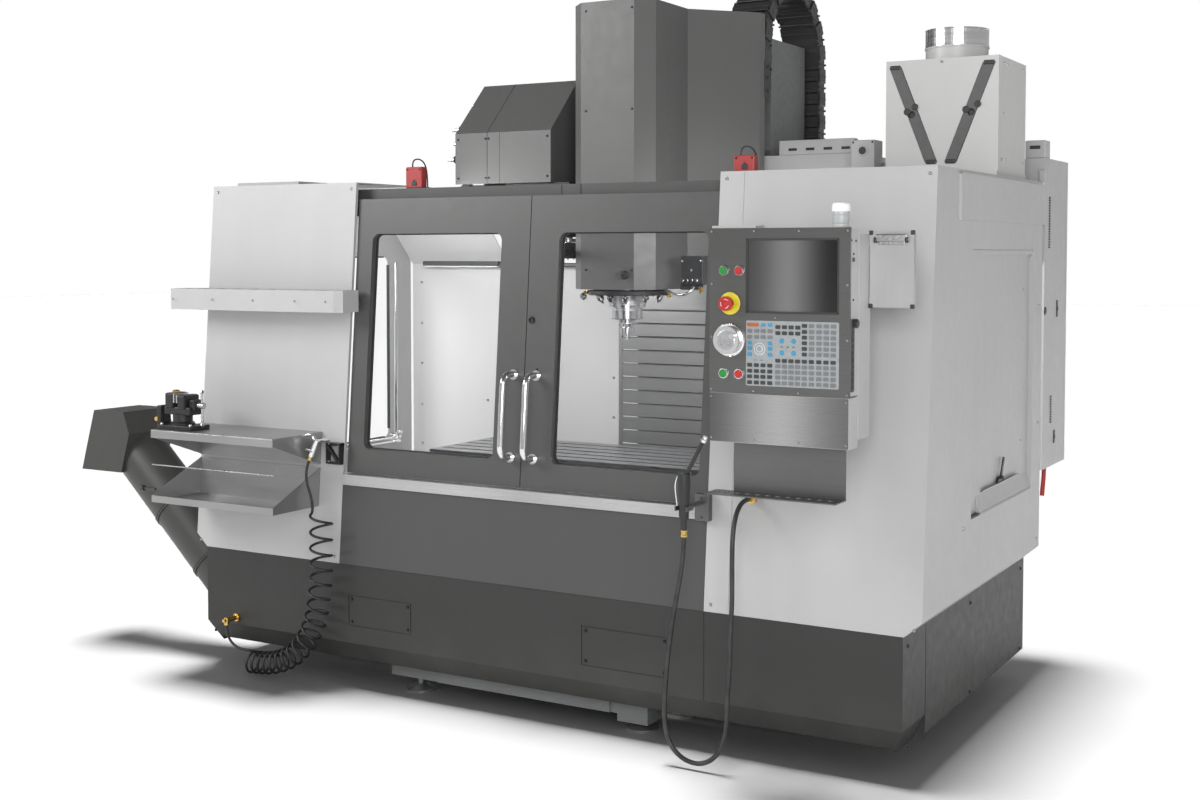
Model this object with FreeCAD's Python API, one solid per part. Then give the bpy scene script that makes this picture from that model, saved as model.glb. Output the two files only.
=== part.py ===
import FreeCAD, Part
import math
import os

# Vertical machining centre: a bridge-less C-frame mill in a sheet-metal enclosure.
# Working frame while modelling, in mm: X to the right, Y to the back, Z up from the floor,
# with X = 0 on the spindle's plane and Y = 0 on the front face of the dark base skirt.
# The finished nodes are moved so that the origin is the middle of the footprint.

# Driving dimensions
BASE_TOP = 422.0          # top edge of the dark base skirt
BASE_HALF = 1300.0        # half width of the base skirt
BASE_DEPTH = 1283.0
SKIRT_LOW = 100.0         # lower edge of the skirt's sides
SHEET = 3.0               # sheet-metal thickness
WALL_HALF = 1352.0        # half width of the white enclosure
WALL_TOP = 1722.0
WALL_BACK = 1280.0
LEAN = 0.0821             # the front leans back by this much for each mm of height
OPENING_HALF = 690.0      # half width of the door opening
DOOR_SPLIT = 17.0         # X of the line where the doors meet
DOOR_LOW = 731.0
DOOR_HIGH = 1664.0
DOOR_FACE = 16.0          # how far the doors' faces lie behind the front panels
DOOR_THICK = 30.0
SILL_LOW = 692.0
SPINDLE_Y = 780.0
NOSE_Z = 1246.0           # underside of the spindle nose at rest
TABLE_TOP = 752.0
TABLE_CENTRE_X = -104.0
TABLE_LENGTH = 1219.0
TABLE_WIDTH = 457.0
CHAMBER_BACK = 1290.0     # the wall behind the machining chamber
COLUMN_FRONT = 1392.0
FIT = 0.05                # radial clearance of a shaft in its bearing
HEAD_LOW = 1351.0         # lower edge of the head's cover
HEAD_TOP = 2361.0
FOOT_X = 428.0
FOOT_FRONT_Y = 112.0
FOOT_REAR_Y = 1640.0
CAROUSEL_Y = 1075.0
CAROUSEL_Z = 1842.0
ARM_X = -250.0
ARM_LOW = 1466.0          # underside of the change arm
ARM_PARK_TURN = 20.0      # the parked arm's angle from the Y axis
PENDANT_LEFT = 830.0
PENDANT_RIGHT = 1231.0
PENDANT_FRONT = -250.0
PENDANT_BACK = -97.0
PIVOT_X = 806.0
PIVOT_Y = -62.0
TROUGH_Y = 153.0
TROUGH_Z = 258.0
TUBE_R = 100.0

X_AXIS = FreeCAD.Vector(1, 0, 0)
Y_AXIS = FreeCAD.Vector(0, 1, 0)
Z_AXIS = FreeCAD.Vector(0, 0, 1)
nodes = {}
cords = {}


def vec(x, y, z):
    return FreeCAD.Vector(x, y, z)


def block(x0, x1, y0, y1, z0, z1):
    return Part.makeBox(x1 - x0, y1 - y0, z1 - z0, vec(x0, y0, z0))


def rod(start, axis, radius, length):
    return Part.makeCylinder(radius, length, start, axis)


def ring(start, axis, outer, inner, length):
    return rod(start, axis, outer, length).cut(rod(start, axis, inner, length))


def cone(start, axis, r0, r1, length):
    return Part.makeCone(r0, r1, length, start, axis)


def outline(points):
    wire = Part.makePolygon(points + [points[0]])
    return Part.Face(wire)


def side_profile(points, x0, x1):
    face = outline([vec(x0, y, z) for y, z in points])
    return face.extrude(vec(x1 - x0, 0, 0))


def front_profile(points, y0, y1):
    face = outline([vec(x, y0, z) for x, z in points])
    return face.extrude(vec(0, y1 - y0, 0))


def plan_profile(points, z0, z1):
    face = outline([vec(x, y, z0) for x, y in points])
    return face.extrude(vec(0, 0, z1 - z0))


def front_y(z):
    return LEAN * (z - BASE_TOP)


def lean_slab(x0, x1, z0, z1, near, far):
    """A slab parallel to the leaning front, from near to far mm behind it."""
    points = [(front_y(z0) + near, z0), (front_y(z0) + far, z0),
              (front_y(z1) + far, z1), (front_y(z1) + near, z1)]
    return side_profile(points, x0, x1)


def joined(shapes):
    result = shapes[0].multiFuse(shapes[1:])
    return result.removeSplitter()


def less(shape, tools):
    return shape.cut(Part.makeCompound(tools))


def edges_along(shape, axis):
    found = []
    for edge in shape.Edges:
        if len(edge.Vertexes) == 2:
            run = edge.Vertexes[1].Point.sub(edge.Vertexes[0].Point)
            if run.Length > 1 and run.cross(axis).Length / run.Length < 0.1:
                found.append(edge)
    return found


def rounded(shape, axis, radius):
    return shape.makeFillet(radius, edges_along(shape, axis))


def node(name, shapes):
    if not isinstance(shapes, list):
        shapes = [shapes]
    solids = []
    for shape in shapes:
        solids.extend(shape.Solids)
    nodes[name] = solids[0] if len(solids) == 1 else Part.makeCompound(solids)


# Base casting: ribbed iron bed with a cross rail under the front that carries two levelling screws
bed = block(-400, 400, 275, 1790, 90, 470)
pocket = block(-340, 340, 340, 1300, 80, 380)
front_legs = block(-330, 330, 70, 290, 47, 140)
front_rail = block(-525, 462, 76, 170, 47, 84)
front_lug = block(355, 462, 76, 170, 23, 60)
rear_rail = block(-480, 480, 1580, 1700, 47, 120)
way_rails = [block(x - 24, x + 24, 300, 1270, 465, 512) for x in (-300, 300)]
base = joined([bed.cut(pocket), front_legs, front_rail, front_lug, rear_rail] + way_rails)
screw_holes = [rod(vec(x, y, 0), Z_AXIS, 12 + FIT, 75) for x in (-FOOT_X, FOOT_X)
               for y in (FOOT_FRONT_Y, FOOT_REAR_Y)]
screw_tunnel = rod(vec(0, 280, 440), Y_AXIS, 34, 900)
node("base_casting", less(base, screw_holes + [block(-60, 60, 300, 1200, 400, 480), screw_tunnel]))


def levelling_foot(x, y, rest_z):
    pad = rod(vec(x, y, 0), Z_AXIS, 50, 8)
    dome = cone(vec(x, y, 8), Z_AXIS, 46, 17, rest_z * 0.3 + 1)
    stem = rod(vec(x, y, 9), Z_AXIS, 12, 62)
    return joined([pad, dome, stem])


node("levelling_feet", [levelling_foot(x, y, rest) for x, y, rest in (
    (-FOOT_X, FOOT_FRONT_Y, 47), (FOOT_X, FOOT_FRONT_Y, 23),
    (-FOOT_X, FOOT_REAR_Y, 47), (FOOT_X, FOOT_REAR_Y, 47))])

# Column: iron box section with the two head rails on its face
column = block(-290, 290, COLUMN_FRONT, 1725, 470, 2300)
column_core = block(-230, 230, COLUMN_FRONT + 60, 1665, 600, 2240)
head_rails = [block(x - 22, x + 22, COLUMN_FRONT - 34, COLUMN_FRONT + 2, 820, 2295) for x in (-210, 210)]
screw_bearings = [block(-45, 45, COLUMN_FRONT - 76, COLUMN_FRONT + 5, z, z + 60) for z in (830, 2140)]
column_holes = [rod(vec(0, COLUMN_FRONT - 48, 800), Z_AXIS, 20 + FIT, 1420)]
node("column_casting", less(joined([column.cut(column_core)] + head_rails + screw_bearings), column_holes))
node("z_screw", joined([rod(vec(0, COLUMN_FRONT - 48, 836), Z_AXIS, 20, 1366),
                        rod(vec(0, COLUMN_FRONT - 48, 2200.5), Z_AXIS, 30, 60)]))

# Base skirt: dark sheet-steel tank that hides the bed, with a chamfered lower front edge
skirt_side = [(0, BASE_TOP), (0, 156), (40, 81), (200, 81), (200, SKIRT_LOW), (BASE_DEPTH, SKIRT_LOW),
              (BASE_DEPTH, BASE_TOP)]
skirt = side_profile(skirt_side, -BASE_HALF, BASE_HALF)
corner_cuts = [front_profile([(s * (BASE_HALF + 1), 160), (s * (BASE_HALF + 1), 70),
                              (s * (BASE_HALF - 42), 70)], -5, 199) for s in (-1, 1)]
skirt = less(skirt, corner_cuts)
skirt_inside = [(4, BASE_TOP - 4), (4, 158), (44, 70), (BASE_DEPTH - 4, 70), (BASE_DEPTH - 4, BASE_TOP - 4)]
hollow = side_profile(skirt_inside, -BASE_HALF + 4, BASE_HALF - 4)
hollow = less(hollow, [front_profile([(s * (BASE_HALF - 3), 164), (s * (BASE_HALF - 3), 60),
                                      (s * (BASE_HALF - 48), 60)], -5, 199) for s in (-1, 1)])
hatch = block(-BASE_HALF + 5, BASE_HALF - 5, 46, BASE_DEPTH - 5, BASE_TOP - 10, BASE_TOP + 5)
auger_hole = rod(vec(-BASE_HALF - 5, TROUGH_Y, TROUGH_Z), X_AXIS, TUBE_R - 4, 20)


def cover_groove(x0, x1, z0, z1):
    return block(x0, x1, -1, 2, z0, z1).cut(block(x0 + 4, x1 - 4, -2, 3, z0 + 4, z1 - 4))


grooves = [cover_groove(-650, -385, 215, 322), cover_groove(270, 575, 205, 330)]
seams = [block(690, 694, -1, 1.5, 90, BASE_TOP),
         block(BASE_HALF - 1.5, BASE_HALF + 1, 198, 202, 90, BASE_TOP)]
rear_gap = block(-410, 410, BASE_DEPTH - 10, BASE_DEPTH + 5, 60, BASE_TOP + 5)
node("base_skirt", less(skirt, [hollow, hatch, auger_hole, rear_gap] + grooves + seams))


# Chip pan: folded stainless floor that drains to the trough across the front
TROUGH_HALF = BASE_HALF - 12


def half_pipe(outer, inner):
    pipe = ring(vec(-TROUGH_HALF, TROUGH_Y, TROUGH_Z), X_AXIS, outer, inner, 2 * TROUGH_HALF)
    return pipe.cut(block(-BASE_HALF, BASE_HALF, 0, 400, TROUGH_Z, TROUGH_Z + 200))


trough = half_pipe(106, 103)
trough_front = block(-TROUGH_HALF, TROUGH_HALF, TROUGH_Y - 106, TROUGH_Y - 103, TROUGH_Z, BASE_TOP + 60)
trough_rear = block(-TROUGH_HALF, TROUGH_HALF, TROUGH_Y + 103, TROUGH_Y + 106, TROUGH_Z, 480)
floor_line = [(TROUGH_Y + 103, 477), (TROUGH_Y + 103, 480), (CHAMBER_BACK - 4, 545), (CHAMBER_BACK - 4, 542)]
pan_floors = [side_profile(floor_line, x0, x1) for x0, x1 in ((-1345, -404), (404, 1345))]
pan_walls = [block(x, x + 3, 258, CHAMBER_BACK - 6, 474, 550) for x in (-407, 404)]
node("chip_pan", joined([trough, trough_front, trough_rear] + pan_floors + pan_walls))

# Chip auger: a helical flight on a shaft, turning in the trough
AUGER_R = 88.0
PITCH = 200.0
AUGER_TURNS = 12
shaft_start = -BASE_HALF + 30
helix = Part.makeHelix(PITCH, PITCH * AUGER_TURNS, 54)
blade_profile = Part.makePolygon([vec(22, 0, -4), vec(AUGER_R, 0, -4), vec(AUGER_R, 0, 4),
                                  vec(22, 0, 4), vec(22, 0, -4)])
blade = Part.Wire(helix).makePipeShell([blade_profile], True, True)
blade.rotate(vec(0, 0, 0), Y_AXIS, 90)
blade.translate(vec(shaft_start + 40, TROUGH_Y, TROUGH_Z))
auger_shaft = rod(vec(shaft_start, TROUGH_Y, TROUGH_Z), X_AXIS, 26, PITCH * AUGER_TURNS + 90)
node("auger_screw", joined([auger_shaft, blade]))

# Auger tube: the chips climb through it to the discharge hood on the left
tube_run = vec(-1, 0, 0.93)
tube_run.normalize()
tube_start = vec(-BASE_HALF + 130, TROUGH_Y, TROUGH_Z - 121)
tube = ring(tube_start, tube_run, TUBE_R, TUBE_R - 3, 905)
tube = tube.cut(block(-BASE_HALF - 4, -900, -100, 500, -200, 900))
collar = block(-BASE_HALF - 9, -BASE_HALF - 1, 38, 268, 150, 400)
tube_bore = rod(tube_start, tube_run, TUBE_R - 3, 905)
mouth = rod(vec(-BASE_HALF - 20, TROUGH_Y, TROUGH_Z), X_AXIS, TUBE_R - 6, 40)
collar = less(collar, [tube_bore, mouth])
hood_outline = [(-1990, 650), (-1921, 880), (-1765, 880), (-1735, 800), (-1779, 650)]
hood = front_profile(hood_outline, 40, 266)
hood_hollow = front_profile([(-1988, 645), (-1918, 877), (-1767, 877), (-1738, 800), (-1783, 645)], 43, 263)
hood = less(hood, [hood_hollow, rod(tube_start, tube_run, TUBE_R - 1, 905)])
node("auger_tube", joined([tube.cut(front_profile(hood_outline, 43, 263)), collar, hood]))


# Front: apron, sill and the white panels at the sides of the doors
apron = lean_slab(-OPENING_HALF + 1, OPENING_HALF - 1, BASE_TOP + 1, SILL_LOW - 1, 0, SHEET)
apron_fold = block(-OPENING_HALF + 1, OPENING_HALF - 1, 0, 46, BASE_TOP + 1, BASE_TOP + 4)
node("front_apron", joined([apron, apron_fold]))

sill_nose = side_profile([(front_y(SILL_LOW) - 9, SILL_LOW), (front_y(SILL_LOW) - 6, SILL_LOW),
                          (front_y(724) - 6, 724), (front_y(724) + 8, 724), (front_y(727) + 8, 727),
                          (front_y(727) - 9, 727)], -OPENING_HALF + 1, OPENING_HALF - 1)
sill_track = side_profile([(front_y(724) + 7, 724), (130, 724), (130, 700), (133, 700), (133, 727),
                           (front_y(727) + 7, 727)], -WALL_HALF + 8, WALL_HALF - 8)
node("door_sill", joined([sill_nose, sill_track]))

track_top = block(-WALL_HALF + 8, WALL_HALF - 8, 154, 232, 1697, 1700)
track_back = block(-WALL_HALF + 8, WALL_HALF - 8, 229, 232, 1610, 1700)
track_front = block(-WALL_HALF + 8, WALL_HALF - 8, 154, 157, 1640, 1700)
node("door_track_housing", joined([track_top, track_back, track_front]))


def front_panel(x0, x1, outer):
    panel = lean_slab(x0, x1, BASE_TOP + 1, WALL_TOP, 0, SHEET)
    cut_x = outer - math.copysign(52, outer)
    corner = front_profile([(outer, BASE_TOP + 45), (outer, BASE_TOP - 5), (cut_x, BASE_TOP - 5),
                            (cut_x, BASE_TOP)], -10, 200)
    roof_y = front_y(WALL_TOP)
    gap = SHEET + 0.5
    roof = block(max(x0, gap - WALL_HALF), min(x1, WALL_HALF - gap), roof_y, roof_y + 420,
                 WALL_TOP - SHEET, WALL_TOP)
    return joined([panel, roof]).cut(corner)


left_roof_box = block(-1300, -1010, 175, 430, WALL_TOP - 1, WALL_TOP + 14)
left_panel = joined([front_panel(-WALL_HALF, -OPENING_HALF, -WALL_HALF), left_roof_box])
left_return = lean_slab(-OPENING_HALF - SHEET, -OPENING_HALF, SILL_LOW + 40, WALL_TOP - SHEET, 0, 12)
node("left_front_panel", joined([left_panel, left_return]))
right_return = lean_slab(OPENING_HALF, OPENING_HALF + SHEET, SILL_LOW + 40, WALL_TOP - SHEET, 0, 12)
right_panel = front_panel(OPENING_HALF, WALL_HALF, WALL_HALF)
panel_seam = lean_slab(768, 771, BASE_TOP, WALL_TOP + 1, -1, 1.2)
# A welded bracket carries the post that the pendant's arm turns on
pivot_post = rod(vec(PIVOT_X, PIVOT_Y, 1512), Z_AXIS, 12, 44)
pivot_foot = block(PIVOT_X - 30, PIVOT_X + 26, PIVOT_Y - 26, front_y(1500) - 1, 1500, 1512.5)
pivot_back = lean_slab(PIVOT_X - 30, PIVOT_X + 26, 1440, 1562, -8, 0.5)
right_sheet = joined([right_panel, right_return]).cut(panel_seam)
node("right_front_panel", joined([right_sheet, pivot_post, pivot_foot, pivot_back]))


def side_wall(side):
    """Folded side wall; its lower edge slopes in to meet the base skirt."""
    x = side * WALL_HALF
    inner = x - side * SHEET
    foot = side * (BASE_HALF + 2)
    folded = front_profile([(x, WALL_TOP), (x, BASE_TOP + 45), (foot, BASE_TOP + 1),
                            (foot - side * SHEET, BASE_TOP + 3), (inner, BASE_TOP + 47),
                            (inner, WALL_TOP)], 0, WALL_BACK)
    reach = lean_slab(-WALL_HALF - 5, WALL_HALF + 5, 0, WALL_TOP + 50, -400, SHEET + 0.5)
    return folded.cut(reach)


side_window_cut = block(-WALL_HALF - 5, -WALL_HALF + 5, 430, 1120, 700, 1465)
roof_rest_left = block(-WALL_HALF, -705, front_y(WALL_TOP) + 421, WALL_BACK, WALL_TOP - SHEET, WALL_TOP)
tool_clearance = block(-840, -700, 780, WALL_BACK + 5, WALL_TOP - 20, WALL_TOP + 5)
roof_rest_left = roof_rest_left.cut(tool_clearance)
node("left_side_wall", joined([side_wall(-1).cut(rounded(side_window_cut, X_AXIS, 30)), roof_rest_left]))

recess_cut = block(WALL_HALF - 5, WALL_HALF + 5, 459, 1164, 684, 1490)
recess_floor = block(WALL_HALF - 18, WALL_HALF - 15, 452, 1171, 677, 1497)
recess_rim = block(WALL_HALF - 18, WALL_HALF - 1, 456, 1167, 681, 1493).cut(
    block(WALL_HALF - 20, WALL_HALF + 2, 459, 1164, 684, 1490))
recess_ledge = front_profile([(WALL_HALF - 16, 684), (WALL_HALF - 1, 684), (WALL_HALF - 16, 745)], 560, 1164)
upper_cover = rounded(block(WALL_HALF - 0.5, WALL_HALF + 9, 305, WALL_BACK, 1576, 1712), X_AXIS, 8)
roof_rest_right = block(705, WALL_HALF, front_y(WALL_TOP) + 421, WALL_BACK, WALL_TOP - SHEET, WALL_TOP)
node("right_side_wall", joined([side_wall(1).cut(recess_cut), recess_floor, recess_rim, recess_ledge,
                                upper_cover, roof_rest_right]))

# Chamber back: light sheet panels each side of the column, folded forward at the top
def back_panel(x0, x1, fold_x0, fold_x1):
    flat = block(x0, x1, CHAMBER_BACK, CHAMBER_BACK + SHEET, 570, 1436)
    line = [(CHAMBER_BACK, 1433), (CHAMBER_BACK + SHEET, 1436), (1103, 1640), (1100, 1638)]
    return joined([flat, side_profile(line, fold_x0, fold_x1)])


node("rear_panels", [back_panel(-1345, -322, -1345, -850), back_panel(322, 1345, 380, 1345)])


# Head way cover: nested plates that close the column's face behind the spindle
WAY_HALF = 308.0
WAY_LOW = 560.0
way_steps = 13
step_height = 53.5
plates = []
for step in range(way_steps):
    low = WAY_LOW + step * step_height
    front = CHAMBER_BACK - 6 - 2.2 * (step % 2) + 0.4 * (step % 3)
    plates.append(side_profile([(front, low), (front + 14, low), (front + 14, low + step_height + 4),
                                (front + 8, low + step_height + 4)], -WAY_HALF, WAY_HALF))
top_plate_low = WAY_LOW + way_steps * step_height
plates.append(block(-WAY_HALF, WAY_HALF, CHAMBER_BACK - 4, CHAMBER_BACK + 8, top_plate_low - 1, 1436))
node("z_way_cover", joined(plates))


# Doors: leaning frames with a wide window, hung to slide sideways behind the white panels
def door(x0, x1, window_x0, window_x1):
    slab = lean_slab(x0, x1, DOOR_LOW, DOOR_HIGH, DOOR_FACE, DOOR_FACE + DOOR_THICK)
    core = lean_slab(x0 + 4, x1 - 4, DOOR_LOW + 4, DOOR_HIGH - 4, DOOR_FACE + 3, DOOR_FACE + DOOR_THICK + 1)
    window = rounded(block(window_x0, window_x1, -50, 300, 814, 1545), Y_AXIS, 26)
    rim = rounded(block(window_x0 - 22, window_x1 + 22, -50, 300, 792, 1567), Y_AXIS, 30)
    core = core.cut(rim)
    return less(slab, [core, window])


def glazing(x0, x1):
    return lean_slab(x0, x1, 800, 1559, DOOR_FACE + DOOR_THICK + 0.2, DOOR_FACE + DOOR_THICK + 6)


def handle(x):
    """D-handle: a bright tube with two quarter bends, standing off the door."""
    low, high, radius, reach, bend = 826.0, 1090.0, 11.0, 62.0, 34.0
    foot_low = vec(x, front_y(low) + DOOR_FACE - 0.1, low)
    foot_high = vec(x, front_y(high) + DOOR_FACE - 0.1, high)
    out = vec(0, -1, LEAN)
    out.normalize()
    along = foot_high.sub(foot_low)
    along.normalize()
    half = math.sqrt(0.5)
    a = foot_low + out * (reach - bend)
    b = a + out * (bend * half) + along * (bend * (1 - half))
    c = foot_low + out * reach + along * bend
    d = foot_high + out * reach - along * bend
    f = foot_high + out * (reach - bend)
    e = f + out * (bend * half) - along * (bend * (1 - half))
    path = Part.Wire([Part.LineSegment(foot_low, a).toShape(), Part.Arc(a, b, c).toShape(),
                      Part.LineSegment(c, d).toShape(), Part.Arc(d, e, f).toShape(),
                      Part.LineSegment(f, foot_high).toShape()])
    section = Part.Wire(Part.Circle(foot_low, out, radius).toShape())
    bar = path.makePipeShell([section], True, True)
    roses = [rod(foot, out, 17, 5) for foot in (foot_low, foot_high)]
    return joined([bar] + roses)


node("left_door", door(-OPENING_HALF + 4, DOOR_SPLIT - 1.5, -621, -92))
node("left_window", glazing(-640, -73))
node("left_handle", handle(DOOR_SPLIT - 40))
node("right_door", door(DOOR_SPLIT + 1.5, OPENING_HALF - 4, 127, 651))
node("right_window", glazing(108, 670))
node("right_handle", handle(DOOR_SPLIT + 46))


# Saddle: rides on the bed's rails and carries the table's cross rails
RAIL_ROWS = (650, 910)
saddle_body = block(-480, 480, 590, 970, 560, 640)
saddle_wings = block(-800, 800, 625, 935, 590, 640)
truck_blocks = [block(x - 42, x + 42, y, y + 90, 514, 561) for x in (-300, 300) for y in (600, 870)]
cross_rails = [block(-800, 800, y - 18, y + 18, 639, 664) for y in RAIL_ROWS]
node("saddle", joined([saddle_body, saddle_wings] + truck_blocks + cross_rails))

# Table: T-slotted iron plate on its own trucks
TABLE_X0 = TABLE_CENTRE_X - TABLE_LENGTH / 2
TABLE_X1 = TABLE_CENTRE_X + TABLE_LENGTH / 2
TABLE_Y0 = SPINDLE_Y - TABLE_WIDTH / 2
TABLE_Y1 = SPINDLE_Y + TABLE_WIDTH / 2
SLOT_WIDTH = 16.0
SLOT_GAP = 80.0
table = block(TABLE_X0, TABLE_X1, TABLE_Y0, TABLE_Y1, 696, TABLE_TOP)
table_cuts = []
slot_x = (TABLE_X0 - 1, TABLE_X1 + 1)
for k in range(-2, 3):
    slot_y = SPINDLE_Y + k * SLOT_GAP
    neck_y = (slot_y - SLOT_WIDTH / 2, slot_y + SLOT_WIDTH / 2)
    table_cuts.append(block(*slot_x, *neck_y, TABLE_TOP - 26, TABLE_TOP + 1))
    table_cuts.append(block(*slot_x, slot_y - 14, slot_y + 14, TABLE_TOP - 28, TABLE_TOP - 16))
table_trucks = [block(x - 45, x + 45, y - 40, y + 40, 666, 697)
                for x in (TABLE_CENTRE_X - 240, TABLE_CENTRE_X + 240) for y in RAIL_ROWS]
node("table", joined([less(table, table_cuts)] + table_trucks))


# Head: iron arm on the column's rails, with the spindle housing at its front
housing = rod(vec(0, SPINDLE_Y, 1362), Z_AXIS, 96, 560)
arm = block(-140, 140, SPINDLE_Y, 1280, 1480, 1915)
arm_rear = block(-140, 140, 900, 1280, 1900, 2100)
arm_core = block(-110, 110, SPINDLE_Y + 150, 1230, 1530, 2060)
head_plate = block(-270, 270, 1250, 1312, 1440, 2130)
head_trucks = [block(x - 40, x + 40, 1310, COLUMN_FRONT - 35.5, z, z + 110) for x in (-210, 210)
               for z in (1460, 1700, 1930)]
nut_block = block(-50, 50, 1310, 1366, 1740, 1830)
bearing_bore = rod(vec(0, SPINDLE_Y, 1200), Z_AXIS, 45 + FIT, 760)
z_screw_bore = rod(vec(0, COLUMN_FRONT - 48, 1400), Z_AXIS, 20 + FIT, 760)
head_arm = joined([arm, arm_rear]).cut(arm_core)
head = joined([housing, head_arm, head_plate, nut_block] + head_trucks)
node("head_casting", less(head, [bearing_bore, z_screw_bore]))

# Head cover: folded grey shell, square in front and flared at the back
COVER_CENTRE = -4.0
cover_half = [(107, 640), (163, 697), (163, 942), (354, 1152), (354, 1196)]
right_side = [(COVER_CENTRE + x, y) for x, y in cover_half]
left_side = [(COVER_CENTRE - x, y) for x, y in reversed(cover_half)]
cover_outer = plan_profile(right_side + left_side, HEAD_LOW, HEAD_TOP)
inner_half = [(105.5, 643), (160, 698.2), (160, 943.2), (351, 1153.2), (351, 1200)]
inner_right = [(COVER_CENTRE + x, y) for x, y in inner_half]
inner_left = [(COVER_CENTRE - x, y) for x, y in reversed(inner_half)]
cover_inner = plan_profile(inner_right + inner_left, HEAD_LOW + SHEET, HEAD_TOP - SHEET)
nose_hole = rod(vec(0, SPINDLE_Y, HEAD_LOW - 5), Z_AXIS, 98, 20)
rear_floor = block(-400, 400, 960, 1200, HEAD_LOW - 1, 1440)
node("head_cover", less(cover_outer, [cover_inner, nose_hole, rear_floor]))

motor_flange = rod(vec(0, SPINDLE_Y, 1922.5), Z_AXIS, 105, 22)
motor_body = rounded(block(-92, 92, SPINDLE_Y - 92, SPINDLE_Y + 92, 1944, 2260), Z_AXIS, 20)
node("spindle_motor", joined([motor_flange, motor_body]))

# Spindle: shaft in its bearings and a tool holder seated in the nose
spindle_shaft = joined([rod(vec(0, SPINDLE_Y, 1358), Z_AXIS, 45, 560),
                        rod(vec(0, SPINDLE_Y, NOSE_Z + 40), Z_AXIS, 66, 75),
                        rod(vec(0, SPINDLE_Y, NOSE_Z), Z_AXIS, 54, 41)])
node("spindle_shaft", spindle_shaft)
flange = joined([rod(vec(0, SPINDLE_Y, NOSE_Z - 8), Z_AXIS, 31.75, 7.8),
                 rod(vec(0, SPINDLE_Y, NOSE_Z - 13), Z_AXIS, 27, 6),
                 rod(vec(0, SPINDLE_Y, NOSE_Z - 20), Z_AXIS, 31.75, 7.5)])
collet = joined([cone(vec(0, SPINDLE_Y, NOSE_Z - 36), Z_AXIS, 19, 22, 17),
                 rod(vec(0, SPINDLE_Y, NOSE_Z - 52), Z_AXIS, 25, 17)])
cutter = rod(vec(0, SPINDLE_Y, NOSE_Z - 78), Z_AXIS, 9, 27)
node("tool_holder", joined([flange, collet, cutter]))

# Tool changer: cover, drive box, carousel and the double-ended change arm
cover_line = [(700, 1738), (700, 1927), (895, 2124), (1345, 2124), (1345, 1738)]
cover_core = [(703, 1730), (703, 1925.8), (896.2, 2121), (1342, 2121), (1342, 1730)]
changer_cover = side_profile(cover_line, -697, -275).cut(side_profile(cover_core, -702, -278))
seam_groove = block(-498, -495, 690, 701.2, 1730, 1930)
head_clearance = plan_profile([(-270, 1035), (-270, 1400), (-395, 1400), (-395, 1150)], 1700, 2200)
node("tool_changer_cover", less(changer_cover, [seam_groove, head_clearance]))

drive_box = block(-480, -205, 716, 925, ARM_LOW + 90, 1737)
drive_sleeve = rod(vec(ARM_X, SPINDLE_Y, ARM_LOW + 72), Z_AXIS, 36, 40)
carousel_bearing = block(-480, -410, 900, 1130, 1640, 1900)
drive_bores = [rod(vec(ARM_X, SPINDLE_Y, 1500), Z_AXIS, 18 + FIT, 250),
               rod(vec(-500, CAROUSEL_Y, CAROUSEL_Z), X_AXIS, 25 + FIT, 100)]
drive_bracket = block(-480, -410, 1100, COLUMN_FRONT + 8, 1640, 1730)
bracket_foot = block(-480, -290.5, COLUMN_FRONT - 8, COLUMN_FRONT + 90, 1630, 1734)
drive = joined([drive_box, drive_sleeve, carousel_bearing, drive_bracket, bracket_foot])
node("tool_changer_drive", less(drive, drive_bores))

POCKETS = 24
POCKET_RING = 232.0
disc = rod(vec(-560, CAROUSEL_Y, CAROUSEL_Z), X_AXIS, POCKET_RING - 20, 16)
carousel_parts = [disc, rod(vec(-545, CAROUSEL_Y, CAROUSEL_Z), X_AXIS, 25, 130)]
for k in range(POCKETS):
    turn = 2 * math.pi * k / POCKETS
    centre = vec(-660, CAROUSEL_Y + POCKET_RING * math.sin(turn), CAROUSEL_Z + POCKET_RING * math.cos(turn))
    carousel_parts.append(rod(centre, X_AXIS, 25, 116))
node("carousel", joined(carousel_parts))

ARM_THICK = 24.0
node("arm_shaft", joined([rod(vec(ARM_X, SPINDLE_Y, ARM_LOW + 53), Z_AXIS, 18, 190),
                          rod(vec(ARM_X, SPINDLE_Y, ARM_LOW + 53), Z_AXIS, 30, 14),
                          rod(vec(ARM_X, SPINDLE_Y, ARM_LOW - 6), Z_AXIS, 14, 60)]))
ARM_REACH = 250.0
arm_bar = block(ARM_X - 26, ARM_X + 26, SPINDLE_Y - ARM_REACH + 40, SPINDLE_Y + ARM_REACH - 40,
                ARM_LOW, ARM_LOW + ARM_THICK)
arm_hub = rod(vec(ARM_X, SPINDLE_Y, ARM_LOW - 6), Z_AXIS, 42, 58)
grips = []
grip_cuts = [rod(vec(ARM_X, SPINDLE_Y, ARM_LOW - 20), Z_AXIS, 14 + FIT, 90)]
for side in (-1, 1):
    grip_y = SPINDLE_Y + side * ARM_REACH
    grips.append(rod(vec(ARM_X, grip_y, ARM_LOW), Z_AXIS, 48, ARM_THICK))
    grip_cuts.append(rod(vec(ARM_X, grip_y, ARM_LOW - 5), Z_AXIS, 33, 50))
    mouth_x = sorted((ARM_X, ARM_X - side * 60))
    grip_cuts.append(block(mouth_x[0], mouth_x[1], grip_y - 33, grip_y + 33, ARM_LOW - 5, ARM_LOW + 50))
change_arm = less(joined([arm_bar, arm_hub] + grips), grip_cuts)
change_arm.rotate(vec(ARM_X, SPINDLE_Y, 0), Z_AXIS, ARM_PARK_TURN)
node("change_arm", change_arm)

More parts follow.
